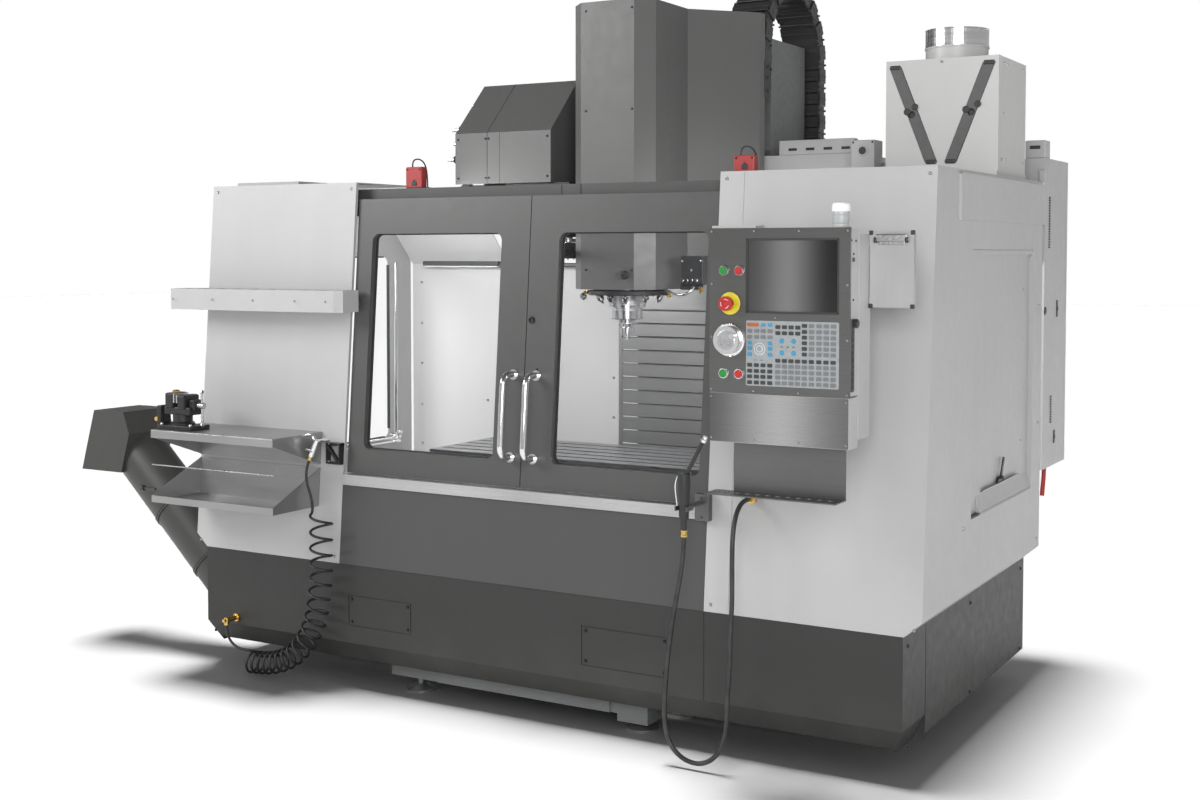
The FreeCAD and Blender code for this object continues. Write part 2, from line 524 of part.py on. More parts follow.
# Roof frame: sheet box behind the right panel, which anchors the cable carrier
roof_frame = block(300, 665, 1300, 1830, 1728, 1846)
frame_core = block(303, 662, 1303, 1827, 1720, 1843)
anchor = block(186, 300, 1735, 1830, 1760, 1846)
frame_leg = block(291, 303, 1400, 1700, 1700, 1740)
node("roof_frame", joined([roof_frame.cut(frame_core), anchor, frame_leg]))

# Cable carrier: flat chain of links that loops from the head to the roof frame
CHAIN_X0 = 190.0
CHAIN_X1 = 350.0
CHAIN_THICK = 66.0
CHAIN_NEAR_Y = 1232.0
CHAIN_FAR_Y = 1775.0
CHAIN_CENTRE_Z = 2235.0
CHAIN_NEAR_LOW = 2140.0
CHAIN_FAR_LOW = 1847.0
chain_y = (CHAIN_FAR_Y + CHAIN_NEAR_Y) / 2


def chain_line(inset):
    """One side of the bent chain: up from the head, over an arc, down to the roof frame."""
    near_y = CHAIN_NEAR_Y - CHAIN_THICK / 2 + inset
    far_y = CHAIN_FAR_Y + CHAIN_THICK / 2 - inset
    near_low, near_high = vec(CHAIN_X0, near_y, CHAIN_NEAR_LOW), vec(CHAIN_X0, near_y, CHAIN_CENTRE_Z)
    far_low, far_high = vec(CHAIN_X0, far_y, CHAIN_FAR_LOW), vec(CHAIN_X0, far_y, CHAIN_CENTRE_Z)
    crown = vec(CHAIN_X0, chain_y, CHAIN_CENTRE_Z + (far_y - near_y) / 2)
    return [Part.LineSegment(near_low, near_high).toShape(), Part.Arc(near_high, crown, far_high).toShape(),
            Part.LineSegment(far_high, far_low).toShape()], near_low, far_low


outer_line, outer_near, outer_far = chain_line(0)
inner_line, inner_near, inner_far = chain_line(CHAIN_THICK)
chain_ends = [Part.LineSegment(outer_near, inner_near).toShape(),
              Part.LineSegment(outer_far, inner_far).toShape()]
chain_edges = Part.__sortEdges__(outer_line + inner_line + chain_ends)
chain_face = Part.Face(Part.Wire(chain_edges))
node("cable_carrier", chain_face.extrude(vec(CHAIN_X1 - CHAIN_X0, 0, 0)))

# Mist extractor: box on the roof with two slanted filter cartridges and a round duct collar
EXT_X0, EXT_X1, EXT_Y0, EXT_Y1, EXT_Z0, EXT_Z1 = 957.0, 1327.0, 800.0, 1131.0, 1740.0, 2105.0
EXT_MID = (EXT_X0 + EXT_X1) / 2
DUCT_R = 101.5
extractor = block(EXT_X0, EXT_X1, EXT_Y0, EXT_Y1, EXT_Z0, EXT_Z1)
extractor_base = block(EXT_X0 - 20, EXT_X1, EXT_Y0 - 12, EXT_Y1 + 12, WALL_TOP + 0.5, EXT_Z0 + 1)
extractor_core = block(EXT_X0 + 3, EXT_X1 - 3, EXT_Y0 + 3, EXT_Y1 - 3, EXT_Z0 + 12, EXT_Z1 - 3)
duct = ring(vec(EXT_MID, 965, EXT_Z1 - 1), Z_AXIS, DUCT_R, DUCT_R - 2, 72)
duct_hole = rod(vec(EXT_MID, 965, EXT_Z1 - 10), Z_AXIS, DUCT_R - 2, 30)


def filter_outline(lean, gap):
    """Slanted slot outline: foot near the middle, top towards the outer corner."""
    foot_x = EXT_MID + lean * 32
    top_x = EXT_MID + lean * 154
    half = 19 + gap
    low, high = EXT_Z0 + 34 - gap, EXT_Z1 - 22 + gap
    return [(foot_x - half, low), (foot_x + half, low), (top_x + half, high), (top_x - half, high)]


slots = [front_profile(filter_outline(lean, 1.5), EXT_Y0 - 5, EXT_Y0 + 10) for lean in (-1, 1)]
extractor_shell = joined([extractor.cut(extractor_core), extractor_base, duct])
node("extractor_case", less(extractor_shell, slots + [duct_hole]))
for name, lean in (("filter_left", -1), ("filter_right", 1)):
    cartridge = front_profile(filter_outline(lean, 0), EXT_Y0 - 2, EXT_Y0 + 290)
    grip_x = EXT_MID + lean * 98
    finger = rod(vec(grip_x, EXT_Y0 - 5, (EXT_Z0 + EXT_Z1) / 2 + 6), Y_AXIS, 12, 24)
    node(name, cartridge.cut(finger))

# Control cabinet at the back right, with a hinged door on its rear face
CAB_X0, CAB_X1, CAB_Y0, CAB_Y1, CAB_Z0, CAB_Z1 = 705.0, 1356.0, 1296.0, 1600.0, 728.0, 1806.0
cabinet = block(CAB_X0, CAB_X1, CAB_Y0, CAB_Y1, CAB_Z0, CAB_Z1)
cabinet_core = block(CAB_X0 + 3, CAB_X1 - 3, CAB_Y0 + 3, CAB_Y1 + 5, CAB_Z0 + 3, CAB_Z1 - 3)
back_plate = block(CAB_X0 + 60, CAB_X1 - 60, CAB_Y0 + 3, CAB_Y0 + 12, CAB_Z0 + 60, CAB_Z1 - 60)
drives = [block(CAB_X0 + 90 + 165 * k, CAB_X0 + 220 + 165 * k, CAB_Y0 + 11, CAB_Y0 + 190, 1180, 1560)
          for k in range(3)]
inlet = rod(vec(1120, CAB_Y0 + 150, CAB_Z0 - 5), Z_AXIS, 21, 15)
node("cabinet_case", less(joined([cabinet.cut(cabinet_core), back_plate] + drives), [inlet]))
cabinet_door = block(CAB_X0, CAB_X1, CAB_Y1 + 2, CAB_Y1 + 24, CAB_Z0, CAB_Z1)
door_core = block(CAB_X0 + 3, CAB_X1 - 3, CAB_Y1 + 1, CAB_Y1 + 21, CAB_Z0 + 3, CAB_Z1 - 3)
hinge_pins = [rod(vec(CAB_X0 - 4, CAB_Y1 + 9, z), Z_AXIS, 6, 90) for z in (850, 1590)]
node("cabinet_door", joined([cabinet_door.cut(door_core)] + hinge_pins + [
    block(CAB_X1 - 60, CAB_X1 - 20, CAB_Y1 + 23, CAB_Y1 + 38, z, z + 70) for z in (1000, 1500)]))

# Left bench: tool tray, steel work table and the open bin under it
tray_plan = [(-1420, -45), (-960, -55), (-680, -30), (-655, -12), (-655, front_y(1279) - 0.5),
             (-1350, front_y(1279) - 0.5), (-1420, 30)]
tray = plan_profile(tray_plan, 1279, 1353)
tray = less(tray, [lean_slab(-1500, -500, 1200, 1500, -0.5, 300)])
tray_cuts = [block(-1385 + 78 * k, -1335 + 78 * k, -30, 30, 1340, 1360) for k in range(9)]
node("tool_tray", less(tray, tray_cuts))

BENCH_X0, BENCH_X1, BENCH_FRONT, BENCH_TOP = -1350.0, -790.0, -215.0, 864.0
TOUCH = 0.5               # gap between folded parts and the leaning panel they are bolted to
bench_top = block(BENCH_X0, BENCH_X1, BENCH_FRONT, front_y(BENCH_TOP) - TOUCH, BENCH_TOP - SHEET, BENCH_TOP)
bench_lip = block(BENCH_X0, BENCH_X1, BENCH_FRONT, BENCH_FRONT + SHEET, BENCH_TOP - 28, BENCH_TOP)
GUSSET_LOW = 752.0
gusset = [(BENCH_FRONT + 2, BENCH_TOP - 1), (BENCH_FRONT + 2, BENCH_TOP - 26),
          (front_y(GUSSET_LOW) - TOUCH, GUSSET_LOW), (front_y(BENCH_TOP) - TOUCH, BENCH_TOP - 1)]
gussets = [side_profile(gusset, x, x + SHEET) for x in (BENCH_X0, BENCH_X1 - SHEET)]
bench_back = lean_slab(BENCH_X0, BENCH_X1, GUSSET_LOW, BENCH_TOP - 1, -TOUCH - SHEET, -TOUCH)
node("work_table", joined([bench_top, bench_lip, bench_back] + gussets))

BIN_LOW = 610.0
BIN_HIGH = 742.0
BIN_LIP = 634.0
bin_floor = block(BENCH_X0, BENCH_X1, BENCH_FRONT, front_y(BIN_LOW) - TOUCH, BIN_LOW, BIN_LOW + SHEET)
bin_lip = block(BENCH_X0, BENCH_X1, BENCH_FRONT, BENCH_FRONT + SHEET, BIN_LOW, BIN_LIP)
bin_side = [(BENCH_FRONT + 1, BIN_LOW), (front_y(BIN_LOW) - TOUCH, BIN_LOW),
            (front_y(BIN_HIGH) - TOUCH, BIN_HIGH), (BENCH_FRONT + 1, BIN_LIP)]
bin_sides = [side_profile(bin_side, x, x + SHEET) for x in (BENCH_X0, BENCH_X1 - SHEET)]
bin_back = lean_slab(BENCH_X0, BENCH_X1, BIN_LOW, BIN_HIGH, -TOUCH - SHEET, -TOUCH)
node("storage_bin", joined([bin_floor, bin_lip, bin_back] + bin_sides))

# Pendant: operator's control box on a swivel arm
pendant_box = block(PENDANT_LEFT, PENDANT_RIGHT, PENDANT_FRONT + 8, -182, 1104, 1543)
rear_box = block(PENDANT_LEFT + 34, PENDANT_RIGHT + 2, -183, PENDANT_BACK, 985, 1530)
lower_box = block(PENDANT_LEFT, PENDANT_RIGHT, PENDANT_FRONT + 2, -182, 964, 1099)
neck = block(PENDANT_LEFT + 12, PENDANT_RIGHT - 10, PENDANT_FRONT + 12, -183, 1098, 1105)
arm_plate = plan_profile([(PIVOT_X - 30, PIVOT_Y + 24), (PIVOT_X + 32, PIVOT_Y + 24), (960, -190),
                          (960, -240), (PENDANT_LEFT, -240), (PIVOT_X - 30, PIVOT_Y - 60)], 1541, 1554)
pivot_boss = rod(vec(PIVOT_X, PIVOT_Y, 1520), Z_AXIS, 24, 34)
pivot_bore = rod(vec(PIVOT_X, PIVOT_Y, 1500), Z_AXIS, 12 + FIT, 80)
button_spots = [(871.0, 1432.0), (917.0, 1432.0), (871.0, 1152.0), (917.0, 1152.0)]
BUTTON_R = 11.0
button_bores = [rod(vec(x, PENDANT_FRONT - 1, z), Y_AXIS, BUTTON_R + 0.1, 32) for x, z in button_spots]
ESTOP_X, ESTOP_Z = 888.0, 1343.0
JOG_X, JOG_Z = 888.0, 1244.0
JOG_R = 38.0
control_bores = button_bores + [rod(vec(ESTOP_X, PENDANT_FRONT - 1, ESTOP_Z), Y_AXIS, 10.1, 40),
                                rod(vec(JOG_X, PENDANT_FRONT - 1, JOG_Z), Y_AXIS, 8 + FIT, 40)]
pendant = joined([pendant_box, rear_box, lower_box, neck, arm_plate, pivot_boss])
node("pendant_case", less(pendant, control_bores + [pivot_bore]))
face_plate = block(PENDANT_LEFT - 2, PENDANT_RIGHT + 2, PENDANT_FRONT, PENDANT_FRONT + 7.8, 1100, 1547)
screen_recess = block(936, 1203, PENDANT_FRONT - 1, PENDANT_FRONT + 4, 1318, 1519)
node("pendant_face", less(face_plate, [screen_recess] + control_bores))

tray_back = block(884, 1210, PENDANT_FRONT + 40, PENDANT_FRONT + 43, 826, 963.8)
tray_shelf = block(830, 1210, PENDANT_FRONT + 43 - 78, PENDANT_FRONT + 43, 822, 825.5)
tray_holes = [rod(vec(850 + 30 * k, PENDANT_FRONT + 4, 815), Z_AXIS, 9, 20) for k in range(12)]
tray_fold = block(884, 1210, PENDANT_FRONT + 40, PENDANT_FRONT + 43, 822, 827)
node("pendant_tray", joined([tray_back, less(tray_shelf, tray_holes), tray_fold]))

BUTTON_LENGTH = 22.0
for name, (x, z) in zip(("power_on_button", "power_off_button", "cycle_start_button", "feed_hold_button"),
                        button_spots):
    node(name, rod(vec(x, PENDANT_FRONT - 8, z), Y_AXIS, BUTTON_R, BUTTON_LENGTH))
mushroom = joined([rod(vec(ESTOP_X, PENDANT_FRONT - 30, ESTOP_Z), Y_AXIS, 20, 12),
                   cone(vec(ESTOP_X, PENDANT_FRONT - 19, ESTOP_Z), Y_AXIS, 17, 10, 8),
                   rod(vec(ESTOP_X, PENDANT_FRONT - 12, ESTOP_Z), Y_AXIS, 10, 38)])
node("emergency_stop", mushroom)
wheel = joined([rod(vec(JOG_X, PENDANT_FRONT - 24, JOG_Z), Y_AXIS, JOG_R, 20),
                rod(vec(JOG_X, PENDANT_FRONT - 5, JOG_Z), Y_AXIS, 8, 36),
                rod(vec(JOG_X + 22, PENDANT_FRONT - 38, JOG_Z + 12), Y_AXIS, 7, 15)])
node("jog_wheel", wheel)


# Hoses: straight runs joined by tangent arcs
def cord_tube(points, radius):
    """Round hose along a route; each bend is as large as its two runs allow."""
    radii = []
    edges = []
    last = points[0]
    for before, corner, after in zip(points, points[1:], points[2:]):
        into = corner.sub(before)
        out_of = after.sub(corner)
        reach = 0.45 * min(into.Length, out_of.Length)
        turn = into.getAngle(out_of)
        radii.append(round(reach / math.tan(turn / 2)))
        into.normalize()
        out_of.normalize()
        start = corner - into * reach
        end = corner + out_of * reach
        bend_r = reach / math.tan(turn / 2)
        inward = out_of - into
        inward.normalize()
        middle = corner + inward * (bend_r / math.cos(turn / 2) - bend_r)
        edges.append(Part.LineSegment(last, start).toShape())
        edges.append(Part.Arc(start, middle, end).toShape())
        last = end
    edges.append(Part.LineSegment(last, points[-1]).toShape())
    path = Part.Wire(edges)
    first = points[1].sub(points[0])
    section = Part.Wire(Part.Circle(points[0], first, radius).toShape())
    solid = path.makePipeShell([section], True, False)
    print("bend radii", radii, "length", round(path.Length), "volume ratio",
          round(solid.Volume / (math.pi * radius ** 2 * path.Length), 4))
    return solid


wash_route = [(681, -112, 681), (681, -112, 610), (670, -122, 521), (655, -132, 425), (644, -138, 323),
              (638, -142, 240), (636, -146, 165), (641, -148, 98), (664, -150, 50), (708, -152, 23),
              (757, -153, 20), (801, -152, 45), (827, -149, 92), (836, -145, 160), (834, -139, 240),
              (838, -132, 320), (836, -128, 400), (839, -122, 480), (838, -120, 556), (839, -123, 620),
              (838, -118, 676), (837, -102, 722), (835, -72, 754), (834, -34, 768), (834, -4, 768)]
WASH_R = 7.0
cords["wash_hose"] = cord_tube([vec(*p) for p in wash_route], WASH_R)

# The air hose leaves the gun straight, runs as a stretched coil, and ends straight at the base
AIR_R = 4.5
COIL_R = 42.0
GUN_FOOT = vec(-768, -50, 792)
air_top = [(-768, -50, 792), (-781.4, -50, 765.2), (-784, -57, 733), (-777, -62, 700),
           (-763, -62, 668), (-752, -62, 634), (-752, -62, 600)]
air_end = [(-1050, -54, 88), (-1100, -54, 88), (-1129, -54, 100), (-1148, -54, 119),
           (-1158, -54, 143), (-1158, -54, 165)]
coil_route = [(-715, -62, 600), (-715, -62, 450), (-724, -62, 310), (-755, -61, 200), (-817, -60, 118),
              (-905, -55, 66), (-996, -54, 50), (-1050, -54, 50)]
cords["air_hose"] = Part.makeCompound([cord_tube([vec(*p) for p in route], AIR_R)
                                       for route in (air_top, air_end)])
cords["air_hose_coils"] = cord_tube([vec(*p) for p in coil_route], COIL_R)

# Brass fittings that feed the hoses
elbow = joined([rod(vec(-1158, -54, 165), Z_AXIS, 9, 27), rod(vec(-1158, -54, 182), Y_AXIS, 9, 53.5),
                rod(vec(-1158, -8, 182), Y_AXIS, 14, 7.5), rod(vec(-1158, -70, 182), Y_AXIS, 6, 20)])
wash_union = joined([rod(vec(834, -4, 768), Y_AXIS, 10, 30.5), rod(vec(834, 14, 768), Y_AXIS, 15, 12.5)])
node("hose_fittings", [elbow, wash_union])

# Hand guns at the hoses' ends
gun_lean = vec(30, 0, 60)
gun_lean.normalize()
air_gun = joined([rod(GUN_FOOT, gun_lean, 10, 62), rod(vec(-743, -50, 842), Y_AXIS, 7, 62),
                  rod(vec(-756, -50, 806), vec(-0.2, -1, 0.4), 4, 34)])
cords["air_gun"] = air_gun.cut(lean_slab(-900, -600, 700, 950, -0.6, 300))
nozzle_run = vec(60, 0, 112)
nozzle_run.normalize()
wash_gun = joined([rod(vec(681, -112, 681), Z_AXIS, 9, 36), cone(vec(681, -112, 716), Z_AXIS, 14, 19, 96),
                   rod(vec(681, -112, 811), Z_AXIS, 19, 34), rod(vec(686, -112, 838), nozzle_run, 6, 132)])
cords["wash_gun"] = wash_gun

# Move the model to the middle of its footprint and write one file per node
os.makedirs("parts", exist_ok=True)
box = Part.makeCompound(list(nodes.values())).BoundBox
shift = vec(-box.Center.x, -box.Center.y, -box.ZMin)
print("origin shift", round(shift.x, 3), round(shift.y, 3), round(shift.z, 3))
print("size", round(box.XLength), round(box.YLength), round(box.ZLength))
for name, shape in list(nodes.items()) + list(cords.items()):
    placed = shape.translated(shift)
    placed.exportStep("parts/" + name + ".step")
    print(name, len(shape.Solids), shape.isValid(), round(shape.Volume / 1e6, 3))
print(len(nodes) + len(cords), "nodes")
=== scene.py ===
import math

import bmesh
import bpy
from mathutils import Matrix, Vector


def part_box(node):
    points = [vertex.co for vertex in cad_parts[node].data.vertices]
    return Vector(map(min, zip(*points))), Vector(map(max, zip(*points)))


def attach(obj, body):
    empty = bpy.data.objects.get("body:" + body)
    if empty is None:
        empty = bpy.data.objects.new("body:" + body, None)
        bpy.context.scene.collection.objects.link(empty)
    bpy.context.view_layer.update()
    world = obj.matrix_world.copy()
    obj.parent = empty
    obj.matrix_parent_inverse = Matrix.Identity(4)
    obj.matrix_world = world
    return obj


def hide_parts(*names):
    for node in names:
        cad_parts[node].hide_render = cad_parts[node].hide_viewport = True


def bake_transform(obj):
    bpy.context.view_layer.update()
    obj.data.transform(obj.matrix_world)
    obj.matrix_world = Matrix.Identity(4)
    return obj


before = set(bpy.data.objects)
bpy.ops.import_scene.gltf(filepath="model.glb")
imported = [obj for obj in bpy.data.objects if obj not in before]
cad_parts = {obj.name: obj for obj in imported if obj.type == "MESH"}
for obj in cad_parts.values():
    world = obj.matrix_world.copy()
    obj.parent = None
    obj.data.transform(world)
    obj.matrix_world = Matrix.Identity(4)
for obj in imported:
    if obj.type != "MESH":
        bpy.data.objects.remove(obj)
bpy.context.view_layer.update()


# Camera, floor and lamps: a pale studio floor with a lamp of its own, one soft box above the front
# left and one at the right, and a small lamp on each side of the chamber. None is part of the machine.
spindle_low, spindle_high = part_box("spindle_shaft")
SPINDLE_BACK = 0.780            # from the front of the base to the spindle's middle
datum = Vector(((spindle_low.x + spindle_high.x) / 2,
    (spindle_low.y + spindle_high.y) / 2 - SPINDLE_BACK, 0))


def at(x, y, z):
    """A place from millimetres right of the spindle, behind the base's front, and above the floor."""
    return datum + Vector((x, y, z)) / 1000


camera_data = bpy.data.cameras.new("camera")
camera_data.sensor_width = 36
camera_data.lens = 45.42
camera_data.shift_y = -0.0669
camera = bpy.data.objects.new("camera", camera_data)
camera.location = at(2640.7, -3987.2, 1479.2)
camera.rotation_euler = (math.radians(87.485), 0, math.radians(30.02))
scene = bpy.context.scene
scene.collection.objects.link(camera)
scene.camera = camera
scene.view_settings.view_transform = "Standard"


def surface(name, color, roughness=0.5, metallic=0.0):
    """A new material with its shader's own plain values; the finish's nodes are added after."""
    material = bpy.data.materials.new(name)
    material.use_nodes = True
    shader = material.node_tree.nodes["Principled BSDF"]
    shader.inputs["Base Color"].default_value = (*color, 1)
    shader.inputs["Roughness"].default_value = roughness
    shader.inputs["Metallic"].default_value = metallic
    return material


def object_place(tree):
    """Where a point lies on the piece, in metres."""
    return tree.nodes.new("ShaderNodeTexCoord").outputs["Object"]


def noise(tree, place, scale, detail=2.0):
    """A soft random value."""
    drift = tree.nodes.new("ShaderNodeTexNoise")
    drift.inputs["Scale"].default_value = scale
    drift.inputs["Detail"].default_value = detail
    tree.links.new(place, drift.inputs["Vector"])
    return drift.outputs["Fac"]


def two_tones(tree, value, first, last):
    """A colour that runs between two stops, each a position and a colour."""
    ramp = tree.nodes.new("ShaderNodeValToRGB")
    for end, (position, color) in zip(ramp.color_ramp.elements, (first, last)):
        end.position = position
        end.color = (*color, 1)
    tree.links.new(value, ramp.inputs["Fac"])
    return ramp.outputs["Color"]


def floor_paint():
    """Sealed pale concrete with a faint cloudy tone."""
    paint = surface("floor_paint", (0.64, 0.64, 0.64), 0.6)
    tree = paint.node_tree
    tone = two_tones(tree, noise(tree, object_place(tree), 0.8), (0, (0.62, 0.62, 0.62)),
        (1, (0.66, 0.66, 0.66)))
    tree.links.new(tone, tree.nodes["Principled BSDF"].inputs["Base Color"])
    return paint


def finished(name, mesh, material=None):
    """Puts a bmesh into a new object at the origin, with its faces turned outwards."""
    bmesh.ops.recalc_face_normals(mesh, faces=mesh.faces)
    data = bpy.data.meshes.new(name)
    mesh.to_mesh(data)
    mesh.free()
    piece = bpy.data.objects.new(name, data)
    scene.collection.objects.link(piece)
    if material:
        data.materials.append(material)
    return piece


floor_mesh = bmesh.new()
bmesh.ops.create_grid(floor_mesh, x_segments=1, y_segments=1, size=40)
floor = finished("studio_floor", floor_mesh, floor_paint())


def studio_air():
    """A white studio that is brightest round the horizon and dim overhead, seen as plain white."""
    world = bpy.data.worlds.new("studio")
    world.use_nodes = True
    nodes, links = world.node_tree.nodes, world.node_tree.links
    glow = nodes["Background"]
    direction = nodes.new("ShaderNodeTexCoord")
    parts = nodes.new("ShaderNodeSeparateXYZ")
    backdrop = nodes.new("ShaderNodeBackground")
    backdrop.inputs["Color"].default_value = (1, 1, 1, 1)
    seen = nodes.new("ShaderNodeLightPath")
    choice = nodes.new("ShaderNodeMixShader")
    links.new(direction.outputs["Generated"], parts.inputs[0])
    overhead = two_tones(world.node_tree, parts.outputs["Z"], (0.15, (0.44, 0.44, 0.44)),
        (0.75, (0.12, 0.12, 0.12)))
    links.new(overhead, glow.inputs["Color"])
    links.new(seen.outputs["Is Camera Ray"], choice.inputs[0])
    links.new(glow.outputs["Background"], choice.inputs[1])
    links.new(backdrop.outputs["Background"], choice.inputs[2])
    links.new(choice.outputs["Shader"], nodes["World Output"].inputs["Surface"])
    return world


scene.world = studio_air()


def soft_lamp(name, place, target, width, height, power):
    """A rectangular soft box that faces a point on the machine."""
    lamp_data = bpy.data.lights.new(name, "AREA")
    lamp_data.shape = "RECTANGLE"
    lamp_data.size = width
    lamp_data.size_y = height
    lamp_data.energy = power
    lamp = bpy.data.objects.new(name, lamp_data)
    lamp.location = place
    lamp.rotation_euler = (target - place).to_track_quat("-Z", "Y").to_euler()
    scene.collection.objects.link(lamp)
    return lamp


key_lamp = soft_lamp("key_lamp", at(-3300, -3000, 3500), at(-900, 300, 1500), 2.2, 2.2, 145)
side_lamp = soft_lamp("side_lamp", at(3000, -4300, 2300), at(300, 600, 1500), 2.4, 2.4, 135)
soft_lamp("left_chamber_lamp", at(-850, 330, 1540), at(-800, 1290, 950), 0.6, 0.2, 9)
soft_lamp("right_chamber_lamp", at(900, 330, 1540), at(700, 1290, 950), 0.6, 0.2, 8)

floor_sun_data = bpy.data.lights.new("floor_lamp", "SUN")
floor_sun_data.energy = 4.7
floor_sun_data.angle = math.radians(16)
floor_sun = bpy.data.objects.new("floor_lamp", floor_sun_data)
floor_sun.rotation_euler = (math.radians(-4), math.radians(-5), 0)
scene.collection.objects.link(floor_sun)
floor_only = bpy.data.collections.new("floor_only")
floor_only.objects.link(floor)
floor_sun.light_linking.receiver_collection = floor_only

# The soft boxes leave the floor to its own lamp, so that the shadow under the machine stays deep.
all_but_floor = bpy.data.collections.new("all_but_floor")
all_but_floor.objects.link(floor)
all_but_floor.collection_objects[0].light_linking.link_state = "EXCLUDE"
for lamp in (key_lamp, side_lamp):
    lamp.light_linking.receiver_collection = all_but_floor


# Bed, column and levelling feet: the machine's iron castings, sand-cast, filled and painted grey.
# The column is bolted on the bed's rear, and forged screws with round pads stand on the floor.
def effect_group(name, inputs):
    """An empty shader node group that gives a colour, a roughness and a normal."""
    kinds = {"Color": "NodeSocketColor", "Normal": "NodeSocketVector", "Run": "NodeSocketVector"}
    effect = bpy.data.node_groups.new(name, "ShaderNodeTree")
    for label in inputs:
        effect.interface.new_socket(name=label, in_out="INPUT", socket_type=kinds.get(label,
            "NodeSocketFloat"))
    for label in ("Color", "Roughness", "Normal"):
        effect.interface.new_socket(name=label, in_out="OUTPUT", socket_type=kinds.get(label,
            "NodeSocketFloat"))
    given = effect.nodes.new("NodeGroupInput")
    result = effect.nodes.new("NodeGroupOutput")
    return effect, given.outputs, result.inputs


def spread(tree, value, low, high, start=0.0, end=1.0):
    """A value that runs from low to high while the given one runs from start to end."""
    scaled = tree.nodes.new("ShaderNodeMapRange")
    for label, number in (("From Min", start), ("From Max", end), ("To Min", low), ("To Max", high)):
        scaled.inputs[label].default_value = number
    tree.links.new(value, scaled.inputs["Value"])
    return scaled.outputs["Result"]


def cloud(tree, place, scale, detail, low, high):
    """A soft random value between low and high."""
    return spread(tree, noise(tree, place, scale, detail), low, high, 0.3, 0.7)


def stretched(tree, place, factors):
    """The same place with each axis multiplied, which draws a pattern out along one of them."""
    stretch = tree.nodes.new("ShaderNodeVectorMath")
    stretch.operation = "MULTIPLY"
    stretch.inputs[1].default_value = factors
    tree.links.new(place, stretch.inputs[0])
    return stretch.outputs["Vector"]


def combined(tree, operation, first, second):
    """Two values added or multiplied."""
    step = tree.nodes.new("ShaderNodeMath")
    step.operation = operation
    tree.links.new(first, step.inputs[0])
    tree.links.new(second, step.inputs[1])
    return step.outputs["Value"]


def shaded(tree, color, factor):
    """A colour made lighter or darker by a value."""
    scaled = tree.nodes.new("ShaderNodeVectorMath")
    scaled.operation = "SCALE"
    tree.links.new(color, scaled.inputs[0])
    tree.links.new(factor, scaled.inputs["Scale"])
    return scaled.outputs["Vector"]


def blended(tree, color, over, factor):
    """A colour partly covered by another one."""
    mix = tree.nodes.new("ShaderNodeMix")
    mix.data_type = "RGBA"
    mix.inputs["B"].default_value = (*over, 1)
    tree.links.new(factor, mix.inputs["Factor"])
    tree.links.new(color, mix.inputs["A"])
    return mix.outputs["Result"]


def relief(tree, height, distance, strength=1.0):
    """Fine relief of this depth in metres."""
    bump = tree.nodes.new("ShaderNodeBump")
    bump.inputs["Distance"].default_value = distance
    bump.inputs["Strength"].default_value = strength
    tree.links.new(height, bump.inputs["Height"])
    return bump.outputs["Normal"]


def gives(effect, result, color, roughness, normal):
    """Joins an effect's three results to its way out."""
    for label, value in (("Color", color), ("Roughness", roughness), ("Normal", normal)):
        effect.links.new(value, result[label])


cast_grain, given, result = effect_group("cast_grain", ["Color", "Roughness"])
place = object_place(cast_grain)
tone = combined(cast_grain, "MULTIPLY", cloud(cast_grain, place, 3, 5, 0.88, 1.08),
    cloud(cast_grain, place, 160, 3, 0.92, 1.05))
gives(cast_grain, result, shaded(cast_grain, given["Color"], tone),
    combined(cast_grain, "ADD", given["Roughness"], cloud(cast_grain, place, 40, 4, -0.1, 0.1)),
    relief(cast_grain, cloud(cast_grain, place, 130, 7, 0, 1), 0.0012, 0.6))


def finish_of(name, effect, color, roughness, metallic=0.0, **numbers):
    """A material whose tone, gloss and relief come from one of the shared effects."""
    material = surface(name, color, roughness, metallic)
    tree = material.node_tree
    grain = tree.nodes.new("ShaderNodeGroup")
    grain.node_tree = effect
    grain.inputs["Color"].default_value = (*color, 1)
    grain.inputs["Roughness"].default_value = roughness
    for label, value in numbers.items():
        grain.inputs[label].default_value = value
    shader = tree.nodes["Principled BSDF"]
    for label, socket in (("Color", "Base Color"), ("Roughness", "Roughness"), ("Normal", "Normal")):
        tree.links.new(grain.outputs[label], shader.inputs[socket])
    return material


def dress(material, *nodes):
    """Gives CAD parts this finish."""
    for node in nodes:
        for material_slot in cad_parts[node].material_slots:
            material_slot.material = material


cast_paint = finish_of("cast_paint", cast_grain, (0.16, 0.165, 0.165), 0.5)
dress(cast_paint, "base_casting", "column_casting")

dress(finish_of("forged_steel", cast_grain, (0.30, 0.30, 0.31), 0.42, 0.9), "levelling_feet")


# Base skirt: dark powder-coated sheet steel around the bed, in bolted panels, with two framed cover
# plates in front that are held by button-head screws.
coat_grain, given, result = effect_group("coat_grain", ["Color", "Roughness", "Peel"])
place = object_place(coat_grain)
tone = combined(coat_grain, "MULTIPLY", cloud(coat_grain, place, 1.3, 3, 0.95, 1.03),
    cloud(coat_grain, stretched(coat_grain, place, (14, 14, 0.7)), 1, 3, 0.985, 1.01))
fleck = combined(coat_grain, "MULTIPLY", tone, cloud(coat_grain, place, 900, 2, 0.975, 1.02))
parts = coat_grain.nodes.new("ShaderNodeSeparateXYZ")
coat_grain.links.new(place, parts.inputs[0])
low_down = spread(coat_grain, parts.outputs["Z"], 0.16, 0.0, 0.06, 0.30)
dust = combined(coat_grain, "MULTIPLY", low_down, cloud(coat_grain, place, 6, 6, 0.1, 1.0))
gloss = combined(coat_grain, "ADD", given["Roughness"], cloud(coat_grain, place, 26, 4, -0.04, 0.06))
peel = combined(coat_grain, "MULTIPLY", given["Peel"], cloud(coat_grain, place, 420, 2, 0, 1))
